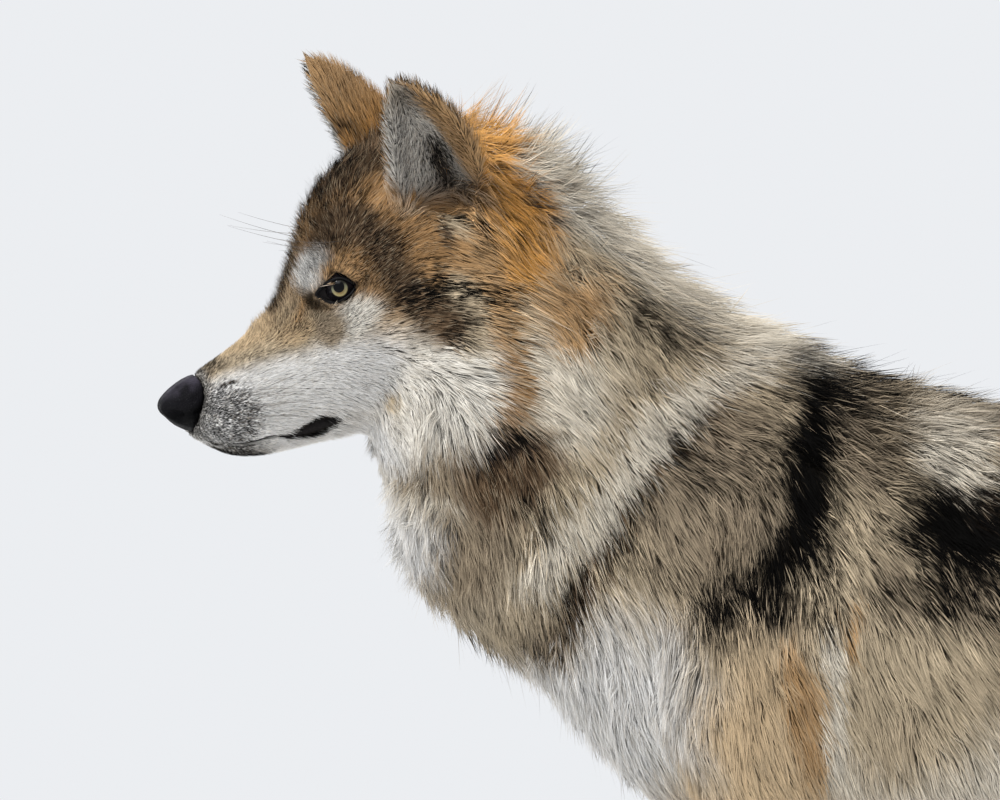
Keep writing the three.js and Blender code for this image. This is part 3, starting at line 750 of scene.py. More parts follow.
# The same in head places.
HEAD_MARKS = [
    ((190, 0, 70), (80, 130, 95), "tawny", 0.5),
    ((60, 0, -40), (90, 60, 40), "white", 0.05),
    ((150, 0, -80), (90, 80, 40), "white", 0.03),
    ((232, 85, 20), (30, 40, 80), "tan", 0.32),
    ((190, 0, 112), (62, 46, 28), "brown", 0.66),
    ((156, 34, 78), (24, 22, 20), "brown", 0.7),
    ((206, 68, 50), (24, 26, 36), "tawny", 0.35),
    ((66, 24, -14), (58, 22, 22), "white", 0.08),
    ((31, 22, -24), (36, 19, 29), "white", 0.8),
    ((130, 50, -20), (56, 40, 30), "white", 0.03),
    ((182, 88, -50), (40, 34, 46), "pale", 0.1),
    ((76, 0, 27), (50, 20, 14), "buff", 0.28),
    ((40, 0, 11), (16, 14, 8), "grey", 0.7),
    ((146, 58, 17), (20, 18, 15), "pale", 0.36),
    ((121, 39, 19), (15, 15, 9), "sand", 0.4),
    ((129, 46, 14), (22, 14, 12), "grey", 0.3),
    ((104, 27, 20), (24, 13, 10), "buff", 0.1),
    ((110, 28, 26), (9, 9, 7), "buff", 0.15),
    ((131, 29, 57), (16, 19, 18), "white", 0.5),
    ((146, 47, 51), (13, 12, 8), "tan", 0.4),
    ((152, 54, 46), (8, 8, 5), "tan", 0.35),
    ((190, 44, 96), (15, 13, 13), "tawny", 0.3),
    ((206, 62, 80), (14, 14, 9), "grey", 0.65),
    ((229, 72, 66), (12, 14, 18), "sand", 0.2),
    ((206, 90, -2), (15, 18, 36), "sand", 0.34),
    ((188, 82, 5), (8, 9, 7), "dark", 0.8),
    ((197, 84, -14), (14, 10, 16), "sand", 0.4),
    ((150, 64, -46), (8, 9, 8), "sand", 0.35),
    ((38, 0, -54), (32, 30, 16), "ash", 0.93),
    ((49, 18, -1), (8, 6, 1.4), "dark", 0.6),
]
# Each stripe: its frame, its line, half width, hair, share of dark tips.
STRIPES = [
    ("body", ((500, 0, 745), (700, 0, 712), (980, 0, 692), (1062, 0, 646)), 52, "grey", 0.8),
    ("body", ((474, 0, 744), (554, 0, 716), (640, 0, 706)), 6, "dark", 0.85),
    ("body", ((270, 0, 852), (302, 0, 822), (349, 0, 779), (424, 0, 733), (464, 0, 716)), 15, "cream", 0.3),
    ("body", ((449, 0, 727), (411, 0, 710), (353, 0, 657), (324, 0, 617), (292, 0, 552)), 9, "brown", 0.85),
    ("body", ((351, 0, 656), (374, 0, 676)), 9, "dark", 0.95),
    ("body", ((459, 0, 738), (393, 0, 703), (350, 0, 674), (305, 0, 612), (272, 0, 572)), 9, "cream", 0.1),
    ("body", ((464, 0, 700), (460, 0, 664), (452, 0, 618), (434, 0, 580)), 15, "black", 1.0),
    ("body", ((590, 0, 622), (650, 0, 652), (730, 0, 676)), 16, "dark", 0.85),
    ("body", ((470, 0, 530), (466, 0, 430)), 8, "cream", 0.1),
    ("body", ((486, 0, 545), (485, 0, 525)), 5, "tan", 0.15),
    ("head", ((106, 0, 38), (115, 0, 46), (133, 0, 74), (150, 0, 97), (175, 0, 110)), 10, "brown", 0.75),
    (
        "head", ((166, 46, 76), (174, 58, 62), (175, 67, 42), (178, 74, 20), (185, 80, 4), (192, 86, -8)), 14,
        "brown", 0.64,
    ),
    ("head", ((153, 50, 42), (168, 62, 36), (184, 74, 26)), 3.5, "dark", 0.55),
    ("head", ((222, 58, 84), (216, 70, 62), (214, 76, 48)), 4.0, "dark", 0.7),
    ("head", ((123, 31, 38), (116, 29, 32), (109, 27, 26)), 2.5, "tan", 0.4),
]
FACE_MIDDLE = 8.0  # the forehead's stripe lies a little to the right of the middle
STRIPE_RIGHT = ((130, 22, 60), (20, 13, 26))  # and is wider on that side
SKIN_BLACK = (9, 8, 9)


def whisker_places():
    """Roots of the whiskers: four rows that run back along the upper lip, the lowest a root shorter."""
    rows = []
    for row in range(4):
        for k in range(5 - (row == 3)):
            rows.append((38 + k * 8.5 + (row % 2) * 4, 22 + k * 1.1, -8 - row * 6.4 - k * 0.8))
    return np.array(rows, float)


WHISKERS = whisker_places()
NOSE_TREE = tree_of(*arrays_of(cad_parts["nose"].data))


def from_nose(p, head):
    """How far each point is from the nose pad, in mm, where it is near the front of the head."""
    far = np.full(len(p), 99.0)
    close = np.flatnonzero(head[:, 0] < 45)
    far[close] = nearest(NOSE_TREE, p[close])[2] * 1000
    return far


def within(q, centre, radii):
    """How far out each point lies in an ellipsoid, 1 on its surface; a half size of 0 goes right through."""
    return np.linalg.norm((q - np.array(centre, float)) / [r or np.inf for r in radii], axis=1)


def marked(p, normal, ear):
    """The hair's colour (linear) and share of dark tips at each point; ear is its share of an ear."""
    body, head = to_body(p), to_head(p)
    ragged = np.stack([noise(body, 26, k) for k in (3, 4, 5)], 1) * 9.0
    ragged += np.stack([noise(body, 9, k) for k in (6, 7, 8)], 1) * 3.0
    colour = np.tile(linear(HAIR["sand"]), (len(p), 1))
    tips = np.full(len(p), 0.4)

    def lay(share, hair, dark):
        nonlocal colour, tips
        colour = blend(colour, linear(HAIR[hair]), share)
        tips = tips * (1 - share) + dark * share

    q = body + ragged
    q[:, 1] = np.abs(q[:, 1])
    for centre, radii, hair, dark in MARKS:
        lay(fade(0.55, 1.3, within(q, centre, radii)), hair, dark)
    on_head = fade(225, 250, head[:, 0] - 0.4 * head[:, 2]) * step(-110, -90, head[:, 2])
    q = head + ragged * 0.22
    right = within(q, *STRIPE_RIGHT)
    q[:, 1] = np.abs(q[:, 1] - FACE_MIDDLE * bell(head[:, 0], 135, 25.0))
    for centre, radii, hair, dark in HEAD_MARKS:
        lay(fade(0.6, 1.3, within(q, centre, radii)) * on_head, hair, dark)
    lay(fade(0.6, 1.3, right) * on_head, "brown", 0.75)
    flat = (body + ragged * 0.8) * (1, 0, 1)
    for where, line, half, hair, dark in STRIPES:
        at, share = (flat, 1.0) if where == "body" else (q, on_head)
        lay(fade(half * 0.4, half * 1.6, to_line(at, np.array(line, float))[0]) * share, hair, dark)
    lay(0.9 * fade(3.0, 11.0, from_nose(p, head)), "ash", 0.85)
    for line in LIPS:
        wide = 1.0 + 7.2 * bell(head[:, 0], 99, 15.0)
        lay(fade(wide * 0.75, wide * 1.25, to_line(head, line)[0] + ragged[:, 0] * 0.11), "black", 1.0)
    mottle = step(0.1, 0.5, noise(body, 16, 11))
    for base, tip, open_way, mine in ear_parts(head, ear):
        inner = step(0.0, 0.4, (normal @ HEAD) @ open_way) * mine
        outer = mine * (1 - inner)
        along = np.maximum((head - base) @ unit(tip - base) / np.linalg.norm(tip - base), 0)
        behind = head[:, 0] - base[0] - along * (tip - base)[0]
        lay(outer, "tan", 0.3)
        lay(outer * fade(0.25, 0.8, along), "orange", 0.15)
        lay(outer * step(0.98, 1.12, along), "brown", 0.6)
        lay(outer * mottle * fade(0.5, 0.9, along) * 0.75, "brown", 0.6)
        lay(inner, "inner", 0.2)
        # Painted shade in the deep fold at the bottom of the ear's opening.
        deep = bell(head[:, 0] - base[0] + 13 * along, 18, 9.0) * fade(0.42, 0.7, along)
        lay(inner * deep * 0.95, "dark", 0.8)
        lay(inner * fade(0.12, 0.3, along) * 0.6, "brown", 0.5)
        lay(inner * step(0.72, 0.95, along) * 0.6, "grey", 0.6)
        lay(inner * step(-2.0, 3.0, behind - 30 + 27 * along**2), "tan", 0.15)
        lay(inner * fade(0.16, 0.3, along) * fade(-12, -4, behind), "tawny", 0.35)
        lay(mine * fade(0.3, 0.45, along) * fade(-22, -14, behind), "tawny", 0.25)
    flecks = 0.3 * noise(body, 8, 14) + 0.4 * noise(body, 18, 9) + 0.3 * noise(body, 46, 10)
    flecks *= 1 - 0.7 * on_head * fade(160, 205, head[:, 0])
    return colour, np.clip(tips + 3.2 * tips * (1 - tips) * flecks, 0, 1)


def bare(p, whole=True):
    """How much each point is bare black skin: lips, rims of the eyes and, for the whole, by the nose pad."""
    head = to_head(p)
    out = np.zeros(len(p))
    for line in LIPS:
        wide = 1.6 + 2.6 * bell(head[:, 0], 98, 14.0)
        out = np.maximum(out, fade(wide * 0.7, wide * 1.2, to_line(head, line)[0]))
    for side, centre in EYES.items():
        local = (head - centre) @ eye_frame(side).T
        near = np.flatnonzero((np.abs(local) < 26).all(1) & (local[:, 0] > 0))
        if len(near):
            out[near] = np.maximum(out[near], fade(0.9, 1.9, lid_distance(local[near, 1:])[0]))
    return np.maximum(out, fade(0.8, 2.2, from_nose(p, head))) if whole else out


# ------------------------------------------------------------------ materials
PAINTED_ROOT_SHADE = (0.03, 0.026, 0.022, 1)  # linear: the shade between the roots of the hair


class Nodes:
    """Short names for building one material's nodes; a plain colour of three is sRGB 0..255."""

    def __init__(self, name):
        self.material = bpy.data.materials.new(name)
        self.material.use_nodes = True
        self.tree = self.material.node_tree
        self.shader = self.tree.nodes["Principled BSDF"]

    def add(self, kind, inputs=(), **settings):
        node = self.tree.nodes.new(kind)
        for key, value in settings.items():
            setattr(node, key, value)
        for key, value in dict(inputs).items():
            self.put(node.inputs[key], value)
        return node

    def put(self, socket, value):
        if isinstance(value, bpy.types.NodeSocket):
            self.tree.links.new(value, socket)
        else:
            socket.default_value = value

    def attribute(self, name, part="Color"):
        return self.add("ShaderNodeAttribute", attribute_name=name).outputs[part]

    def mix(self, factor, a, b):
        node = self.add("ShaderNodeMix", data_type="RGBA")
        for index, value in ((0, factor), (6, a), (7, b)):
            plain = isinstance(value, tuple) and len(value) == 3
            self.put(node.inputs[index], (*linear(value), 1.0) if plain else value)
        return node.outputs[2]

    def tint(self, base, colour, value, low, high, *share):
        """The base, turned to the colour as the value runs from low to high."""
        return self.mix(self.ramp(value, low, high, *share), base, colour)

    def math(self, what, a, b):
        return self.add("ShaderNodeMath", {0: a, 1: b}, operation=what).outputs[0]

    def ramp(self, value, low, high, to_low=0.0, to_high=1.0):
        inputs = {"Value": value, "From Min": low, "From Max": high, "To Min": to_low, "To Max": to_high}
        return self.add("ShaderNodeMapRange", inputs, interpolation_type="SMOOTHSTEP").outputs[0]

    def noise(self, vector, scale, detail=3.0, roughness=0.55):
        inputs = {"Vector": vector, "Scale": scale, "Detail": detail, "Roughness": roughness}
        return self.add("ShaderNodeTexNoise", inputs).outputs["Fac"]

    def place(self, scale=None):
        place = self.add("ShaderNodeTexCoord").outputs["Object"]
        if scale is None:
            return place
        return self.add("ShaderNodeMapping", {"Vector": place, "Scale": scale}).outputs[0]

    def bump(self, height, strength, distance=0.0003):
        inputs = {"Height": height, "Strength": strength, "Distance": distance}
        self.put(self.shader.inputs["Normal"], self.add("ShaderNodeBump", inputs).outputs[0])

    def surface(self, colour, roughness, specular=0.5):
        values = {"Base Color": colour, "Roughness": roughness, "Specular IOR Level": specular}
        for key, value in values.items():
            self.put(self.shader.inputs[key], value)
        return self.material


def coat_material():
    """Locks of hair: pale or dark along their length, with painted shade towards their roots and streaks that
    run with the hair.
    """
    n = Nodes("coat")
    across, along, seed = n.add("ShaderNodeSeparateXYZ", {0: n.attribute("strand", "Vector")}).outputs
    streak_at = {0: n.math("MULTIPLY", across, 2.2), 1: along, 2: n.math("MULTIPLY", seed, 97.0)}
    streak = n.noise(n.add("ShaderNodeCombineXYZ", streak_at).outputs[0], 1.6, 2.0, 0.6)
    hair, start = n.attribute("hair"), n.attribute("tip", "Alpha")
    colour = n.tint(hair, n.attribute("tip"), n.math("SUBTRACT", along, start), 0.0, 0.22)
    # Each lock darkens towards its root: painted shade deep in the coat.
    colour = n.tint(colour, n.mix(0.6, hair, PAINTED_ROOT_SHADE), along, 0.4, 0.0)
    value = n.ramp(streak, 0.25, 0.75, 0.86, 1.12)
    streaked = n.add("ShaderNodeHueSaturation", {"Color": colour, "Value": value})
    n.bump(streak, 0.4)
    return n.surface(streaked.outputs[0], 0.75, 0.04)


def skin_material():
    """The undercoat seen between the locks, darkened with painted shade, and the bare black skin of lips,
    lids and pads.
    """
    n = Nodes("undercoat")
    place, bare_share = n.place(), n.attribute("bare", "Fac")
    down = n.noise(n.place((1.0, 1.0, 0.35)), 620.0, 4.0, 0.65)
    # Painted shade: the undercoat darkens towards the shade between the roots in a fine grain.
    fur = n.tint(n.attribute("hair"), PAINTED_ROOT_SHADE, down, 0.3, 0.75)
    fur = n.tint(fur, (0.02, 0.018, 0.016, 1), n.noise(place, 55.0), 0.35, 0.8, 0.0, 0.3)
    leather = n.mix(n.noise(place, 900.0), SKIN_BLACK, (0.02, 0.017, 0.017, 1))
    n.bump(down, 0.6, 0.0008)
    return n.surface(n.mix(bare_share, fur, leather), n.ramp(bare_share, 0.2, 0.9, 0.85, 0.5), 0.06)


def nose_material():
    """Pebbled leather, with a painted sheen above and painted shade that turns it near black below."""
    n = Nodes("nose leather")
    place = n.place()
    pebbles = n.add("ShaderNodeTexVoronoi", {"Vector": place, "Scale": 720.0}, feature="DISTANCE_TO_EDGE")
    origin = from_head(np.zeros(3))
    up = unit(from_head(np.array([0.0, 0.0, 1.0])) - origin)
    level = n.add("ShaderNodeVectorMath", {0: place, 1: up.tolist()}, operation="DOT_PRODUCT")
    level = n.math("SUBTRACT", level.outputs["Value"], float(origin @ up))
    # Painted sheen: paler towards the top of the pad.
    colour = n.tint((22, 21, 25), (64, 60, 70), level, -0.001, 0.009)
    colour = n.tint(colour, (14, 13, 16), n.noise(place, 90.0), 0.3, 0.7)
    # Painted shade: near black towards the bottom of the pad.
    colour = n.tint(colour, (3, 3, 4), level, -0.002, -0.013)
    n.bump(n.ramp(pebbles.outputs[0], 0.0, 0.25), 0.6, 0.0005)
    return n.surface(colour, n.ramp(n.noise(place, 300.0), 0.3, 0.7, 0.3, 0.46), 0.06)


def eye_material():
    """The iris, pupil and dark white of the eye, by distance from the middle of the gaze (mm), with painted
    shade of the upper lid over the top of the iris.
    """
    n = Nodes("eye")
    radius, turned, height = n.add("ShaderNodeSeparateXYZ", {0: n.attribute("gaze", "Vector")}).outputs
    rays_at = n.add("ShaderNodeCombineXYZ", {0: turned, 1: n.math("MULTIPLY", radius, 0.12)}).outputs[0]
    rays = n.noise(rays_at, 9.0, 3.0, 0.7)
    inner = n.tint((112, 92, 54), (142, 116, 68), n.noise(rays_at, 2.5, 2.0), 0.3, 0.7)
    outer = n.tint((168, 154, 108), (132, 122, 84), rays, 0.3, 0.75)
    iris = n.tint(inner, outer, radius, 3.2, 4.8)
    iris = n.tint(iris, (92, 84, 52), rays, 0.5, 0.8, 0.0, 0.6)
    iris = n.tint(iris, (104, 108, 92), height, -4.6, 0.8, 0.0, 0.8)
    # Painted shade of the upper lid: the top of the iris darkens.
    iris = n.tint(iris, (24, 23, 20), height, -0.6, 3.4, 0.0, 0.95)
    iris = n.tint(iris, (20, 19, 18), radius, 5.3, 6.1)
    white = n.tint((13, 12, 14), (28, 24, 27), n.noise(n.place(), 260.0), 0.35, 0.7)
    ball = n.tint(iris, white, radius, 6.0, 6.7)
    ball = n.tint(ball, (5, 5, 6), n.math("SUBTRACT", radius, n.math("MULTIPLY", height, 0.28)), 3.9, 3.4)
    n.bump(n.math("MULTIPLY", rays, n.ramp(radius, 6.5, 5.5)), 0.12)
    return n.surface(ball, 0.05, 0.11)


def plain_material(name, dark, light, scale, detail, rough, specular=0.5, bump=0.0, stretch=None):
    """One grain between a dark and a light colour."""
    n = Nodes(name)
    grain = n.noise(n.place(stretch), scale, detail)
    if bump:
        n.bump(grain, bump)
    return n.surface(n.tint(dark, light, grain, 0.3, 0.7), rough, specular)


COAT = coat_material()


# ------------------------------------------------------------------ the skin, unwrapped for the coat's map
def set_colours(mesh, name, colours, alpha=None):
    layer = mesh.attributes.new(name, "FLOAT_COLOR", "POINT")
    alpha = np.ones(len(colours)) if alpha is None else alpha
    layer.data.foreach_set("color", np.concatenate([colours, alpha[:, None]], 1).astype(np.float32).ravel())


def set_numbers(mesh, name, numbers):
    kind, key = ("FLOAT", "value") if numbers.ndim == 1 else ("FLOAT_VECTOR", "vector")
    mesh.attributes.new(name, kind, "POINT").data.foreach_set(key, numbers.astype(np.float32).ravel())


def placed(name, mesh, material, slot):
    """A smooth visible piece, which rides on the root body."""
    mesh.polygons.foreach_set("use_smooth", np.ones(len(mesh.polygons), bool))
    mesh.materials.append(material)
    obj = add_object(name, mesh)
    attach(obj, "root")
    return obj


def unwrapped(obj):
    """Unwraps the skin by its own shape and gives the map's place at each corner of each triangle."""
    obj.data.uv_layers.new(name="OFBake")
    bpy.context.view_layer.objects.active = obj
    obj.select_set(True)
    bpy.ops.object.mode_set(mode="EDIT")
    bpy.ops.mesh.select_all(action="SELECT")
    bpy.ops.uv.smart_project(angle_limit=math.radians(66), island_margin=0.003)
    bpy.ops.object.mode_set(mode="OBJECT")
    obj.select_set(False)
    uv = np.zeros(len(obj.data.loops) * 2, np.float32)
    obj.data.uv_layers["OFBake"].data.foreach_get("uv", uv)
    return uv.reshape(-1, 3, 2)


skin = placed("skin", mesh_from("skin", SKIN_V, SKIN_F), skin_material(), "coat_grey")
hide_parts(*FLESH)
SKIN_UV = unwrapped(skin)
pads = (SKIN_N[:, 2] < -0.4) & (SKIN_V[:, 2] < 0.016)
SKIN_BARE = np.maximum(bare(SKIN_V), averaged(pads.astype(float), SKIN_F, 2))
# The hair's colour darkened to 0.55 as painted shade on the undercoat under the locks.
set_colours(skin.data, "hair", marked(SKIN_V, SKIN_N, EAR)[0] * 0.55)
set_numbers(skin.data, "bare", SKIN_BARE)


# ------------------------------------------------------------------ the coat
def scattered(density):
    """Evenly strewn places on the skin: their triangles and weights of the corners; density is per m2."""
    corner = SKIN_V[SKIN_F]
    area = 0.5 * np.linalg.norm(np.cross(corner[:, 1] - corner[:, 0], corner[:, 2] - corner[:, 0]), axis=1)
    total = np.cumsum(area * density)
    at = np.arange(int(total[-1])) + RNG.random(int(total[-1]))
    face = np.minimum(np.searchsorted(total, at), len(SKIN_F) - 1)
    a, b = np.sqrt(RNG.random(len(face))), RNG.random(len(face))
    return face, np.stack([1 - a, a * (1 - b), a * b], 1)


def spread(values, face, weight):
    """Values at the skin's vertices, taken at strewn places."""
    corner = values[SKIN_F[face]]
    return (corner * (weight[:, :, None] if values.ndim == 2 else weight)).sum(1)


def width_of(length):
    """How wide a lock of each length is, in metres."""
    return np.interp(length * 1000, [4, 8, 12, 30, 60], [0.7, 0.74, 0.78, 0.85, 1.05]) / 1000


def on_skin(p, height):
    """Points moved to the given height over the nearest skin, with the skin's normal and way of hair."""
    at, face, _ = nearest(SKIN_TREE, p)
    normal = unit(SKIN_N[SKIN_F[face]].sum(1))
    way = unit(SKIN_WAY[SKIN_F[face]].sum(1))
    return at + normal * height[:, None], normal, way


def leaned(way, normal, angle, length):
    """Steps of the given lengths along the way, tilted up from the skin by the angles (radians)."""
    return (way * np.cos(angle)[:, None] + normal * np.sin(angle)[:, None]) * length[:, None]


def swayed(way, normal, place, amount):
    """The way of each hair, turned a little aside, together with its neighbours and on its own."""
    side = np.cross(normal, way)
    mm = place * 1000
    turned = noise(mm, 85, 13) * 0.9 + noise(mm, 30, 11) * 0.8 + noise(mm, 10, 12) * 0.5
    turned += RNG.normal(0, 0.35, len(way))
    return unit(way + side * (turned * amount)[:, None])


PER_POINT, POINT_REACH = 13, 0.012  # locks that come together in one point, and from how far away (m)


def gathered(root, tip):
    """How far each tip moves so that neighbours come together in points."""
    leaders = RNG.choice(len(root), max(len(root) // PER_POINT, 1), replace=False)
    tree = KDTree(len(leaders))
    for k in leaders.tolist():
        tree.insert(root[k], k)
    tree.balance()
    found = np.array([tree.find(Vector(p))[1:] for p in root.tolist()])
    lead, far = found[:, 0].astype(int), found[:, 1]
    pull = (0.9 * RNG.random(len(root)) ** 0.5) * fade(POINT_REACH * 0.6, POINT_REACH * 1.4, far)
    return (tip[lead] - tip) * pull[:, None]


def shared(root, size):
    """A random number from 0 to 1 that neighbours within about the size (m) have in common."""
    uneven = np.stack([noise(root * 1000, 6, k) for k in (21, 22, 23)], 1)
    cell = np.floor(root / size + 0.35 * uneven).astype(np.int64)
    return lattice(cell[:, 0], cell[:, 1], cell[:, 2], 31)


def clear_of_openings(root, way, length):
    """The share of each hair's length that keeps it off the eyes' openings and the lips."""
    share = np.ones(len(root))
    near = np.zeros(len(root), bool)
    for centre in EYES.values():
        near |= np.linalg.norm(to_head(root) - centre, axis=1) < 36
    for line in LIPS:
        near |= to_line(to_head(root), line)[0] < 12
    for part in (1.0, 0.7, 0.45, 0.25):
        index = np.flatnonzero(near)
        over = np.zeros(len(index), bool)
        for reached in (part, part * 0.55):
            over |= bare(root[index] + way[index] * (length[index] * reached)[:, None], False) > 0.4
        share[index] = part
        near[index[~over]] = False
    return share


BEND = 0.45  # of a bending lock's length lies below its bend
PATCH = 0.003  # the size of one lock's patch in the map


def locks(name, root, normal, way, length, depth, width, colour, dark, uv, bends):
    """One joined mesh of closed, pointed locks that follow the skin."""
    count = len(root)
    rise = np.clip(depth / (0.68 * length), 0.06, 1.2) * RNG.uniform(0.6, 1.2, count)
    way = swayed(way, normal, root, 0.4 if bends else 0.24)
    length = length * clear_of_openings(root, way, length)
    if bends:
        lower, upper = length * BEND, length * (1 - BEND)
        low = lower * np.sin(rise)
        middle, n1, way1 = on_skin(root + leaned(way, normal, rise, lower), low)
        way1 = unit(swayed(way1, n1, middle, 0.42) * 0.65 + way * 0.35)
        on = rise * (0.35 + 0.4 * step(0.5, 1.0, rise) + 0.4 * step(0.95, 1.2, rise))
        height = low + upper * np.sin(on) * RNG.uniform(0.6, 1.25, count)
        tip = on_skin(middle + leaned(way1, n1, on, upper), height)[0]
        shift = gathered(root, tip)
        ring, share, tip = middle + shift * 0.35, BEND, tip + shift
    else:
        tip = on_skin(root + leaned(way, normal, rise, length), length * np.sin(rise) * 0.9)[0]
        ring, share = root - normal * 0.0004, 0.0
    tip = np.clip(tip, *REACH)
    ahead = unit(tip - root)
    up = unit(normal - ahead * (normal * ahead).sum(1, keepdims=True))
    side = np.cross(ahead, up)
    half = (width / 2)[:, None]
    soft = unit(up + normal * 0.8)
    points = [ring - side * half, ring + side * half, ring + up * half * 0.8, tip]
    shade = [unit(soft - side * 0.28), unit(soft + side * 0.28), soft, soft]
    across, along = [-1.0, 1.0, 0.0, 0.0], [share] * 3 + [1.0]
    one = [(0, 2, 3), (2, 1, 3), (1, 0, 3)]
    if bends:
        points.append(root - normal * 0.001)
        shade.append(soft)
        across.append(0.0)
        along.append(0.0)
        one += [(2, 0, 4), (1, 2, 4), (0, 1, 4)]
    else:
        one.append((0, 1, 2))
    per = len(points)
    one = np.array(one)
    f = (one[None] + (np.arange(count) * per)[:, None, None]).reshape(-1, 3)
    mesh = mesh_from(name, np.stack(points, 1).reshape(-1, 3), f)
    strand = np.empty((count, per, 3))
    strand[:, :, 0], strand[:, :, 1], strand[:, :, 2] = across, along, RNG.random(count)[:, None]
    set_numbers(mesh, "strand", strand.reshape(-1, 3))
    set_colours(mesh, "hair", np.repeat(colour, per, 0))
    set_colours(mesh, "tip", np.repeat(dark[:, :3], per, 0), np.repeat(dark[:, 3], per))
    patch = (strand[:, one.ravel() % per, :2] * (0.5, 1.0) - (0.0, 0.5)) * PATCH + uv[:, None]
    mesh.uv_layers.new(name="OFBake").data.foreach_set("uv", patch.astype(np.float32).ravel())
    placed(name, mesh, COAT, "coat_grey")
    mesh.normals_split_custom_set_from_vertices(np.stack(shade, 1).reshape(-1, 3))


LONG_HAIR = 0.0175  # metres


def coat_zones():
    """The coat's pieces: which of the skin's vertices, layers deep, how coarse, whether its locks bend."""
    back = to_body(SKIN_V)[:, 0]
    long = SKIN_SIZE[:, 0] > LONG_HAIR
    ears = EAR > 0.5
    head = np.isin(SKIN_NODE, ["head", "lower_jaw"]) & ~ears
    left, face_left = SKIN_V[:, 1] < 0, to_head(SKIN_V)[:, 1] < 0
    short_leg = (np.char.startswith(SKIN_NODE, "leg") | np.char.startswith(SKIN_NODE, "paw")) & ~long
    fore, mid = back < 430, back < 640
    neck, tail = SKIN_NODE == "neck", SKIN_NODE == "tail"
    trunk = ~np.isin(SKIN_NODE, ["head", "lower_jaw", "neck", "tail"]) & ~ears & ~short_leg
    return {
        "coat_face_left": (head & ~long & face_left, 4.2, 0.92, False),
        "coat_face_right": (head & ~long & ~face_left, 3.2, 1.15, False),
        "coat_ears": (ears, 3.6, 1.1, False),
        "coat_cheeks": (head & long, 4.5, 0.7, True),
        "coat_neck_left": (neck & left, 4.4, 0.58, True),
        "coat_neck_right": (neck & ~left, 3.2, 1.5, True),
        "coat_shoulder_left": (trunk & left & fore, 4.4, 0.62, True),
        "coat_shoulder_right": (trunk & ~left & fore, 3.1, 1.6, True),
        "coat_side_left": (trunk & left & ~fore & mid, 4.0, 0.7, True),
        "coat_side_right": (trunk & ~left & ~fore & mid, 3.1, 1.6, True),
        "coat_back_left": (trunk & left & ~mid, 2.6, 1.95, True),
        "coat_back_right": (trunk & ~left & ~mid, 2.4, 2.0, True),
        "coat_legs_fore": (short_leg & mid, 1.25, 1.55, False),
        "coat_legs_hind": (short_leg & ~mid, 1.25, 1.55, False),
        "coat_tail": (tail, 4.2, 1.6, True),
    }


def nape_share(p):
    """How much each point belongs to the mane's ruffled top behind the ears."""
    body = to_body(p)
    return np.exp(-(((body[:, 0] - 244) / 34) ** 2) - (body[:, 1] / 50) ** 2) * step(815, 850, body[:, 2])


# A line up the middle of the forehead and over the crown, in head places.
CROWN = np.array([[112, 0, 40], [135, 0, 76], [165, 0, 104], [205, 0, 114]], float)


def crown_share(p):
    """How much each point belongs to the forehead and crown, and how far along them it is."""
    off, along = to_line(to_head(p), CROWN)
    return fade(26, 46, off), along


def extra_lift(p):
    """How much more than lying flat the fur stands up over the forehead, crown and nape."""
    crown, along = crown_share(p)
    return 1.0 + (3.3 - 1.3 * step(0.35, 0.7, along)) * crown + 1.1 * nape_share(p)


def grow(name, density, coarse, bends, reach=(0.6, 1.2), rising=1.0):
    """One piece of the coat; density is how many locks grow on each triangle of the skin, per m2."""
    face, weight = scattered(density)
    root = spread(SKIN_V, face, weight)
    normal = unit(spread(SKIN_N, face, weight))
    way = unit(spread(SKIN_WAY, face, weight))
    size = spread(SKIN_SIZE, face, weight)
    count = len(root)
    long = size[:, 0] * RNG.uniform(*reach, count)
    ear = spread(EAR, face, weight)
    strayed = RNG.normal(0, 0.06, (count, 3)) * long[:, None]
    colour, tips = marked(root + way * (long * 0.45)[:, None] + strayed, normal, ear)
    ended, tips_end = marked(root + way * (long * 0.85)[:, None] + strayed, normal, ear)
    width = width_of(size[:, 0]) * coarse * RNG.uniform(0.7, 1.3, count)
    clump = shared(root, 0.009 if bends else 0.0035) - 0.5
    shade = np.exp(RNG.normal(0, 0.07 + 0.13 * tips, count) + clump * (0.15 + 0.9 * tips))[:, None]
    # Some tips are black, most where the marks say so; of the others, some are ticked with sand.
    chance = RNG.random(count)
    chance += (shared(root, 0.004) - chance) * (0.5 if bends else 0.25)
    black = chance < 0.5 + (tips_end - 0.5) * 1.05
    ended = ended * shade * 1.08
    on_dark = step(0.45, 0.75, tips_end)
    ticks = np.where(RNG.random(count) < 0.35 + 0.3 * on_dark, 0.4 + 0.25 * on_dark, 0.0)
    ticked = ended + (linear(HAIR["sand"]) * 0.9 - ended) * ticks[:, None]
    darkest = linear(HAIR["black"]) * RNG.uniform(0.6, 1.4, (count, 1))
    paler = fade(0.15, 0.6, tips_end) * (0.75 if bends else 0.2)
    tip = np.where(black[:, None], darkest + (ended * 0.4 - darkest) * paler[:, None], ticked)
    # Where most tips are dark, the dark also runs further up each hair.
    start = np.clip(0.74 - 0.46 * tips + RNG.normal(0, 0.09, count), 0.12, 0.85)
    tip = np.concatenate([tip, np.where(black, start, 0.5)[:, None]], 1)
    uv = (SKIN_UV[face] * weight[:, :, None]).sum(1)
    depth = size[:, 1] * rising * extra_lift(root)
    locks(name, root, normal, way, long, depth, width, colour * shade, tip, uv, bends)


def on_faces(values):
    return values[SKIN_F].mean(1)


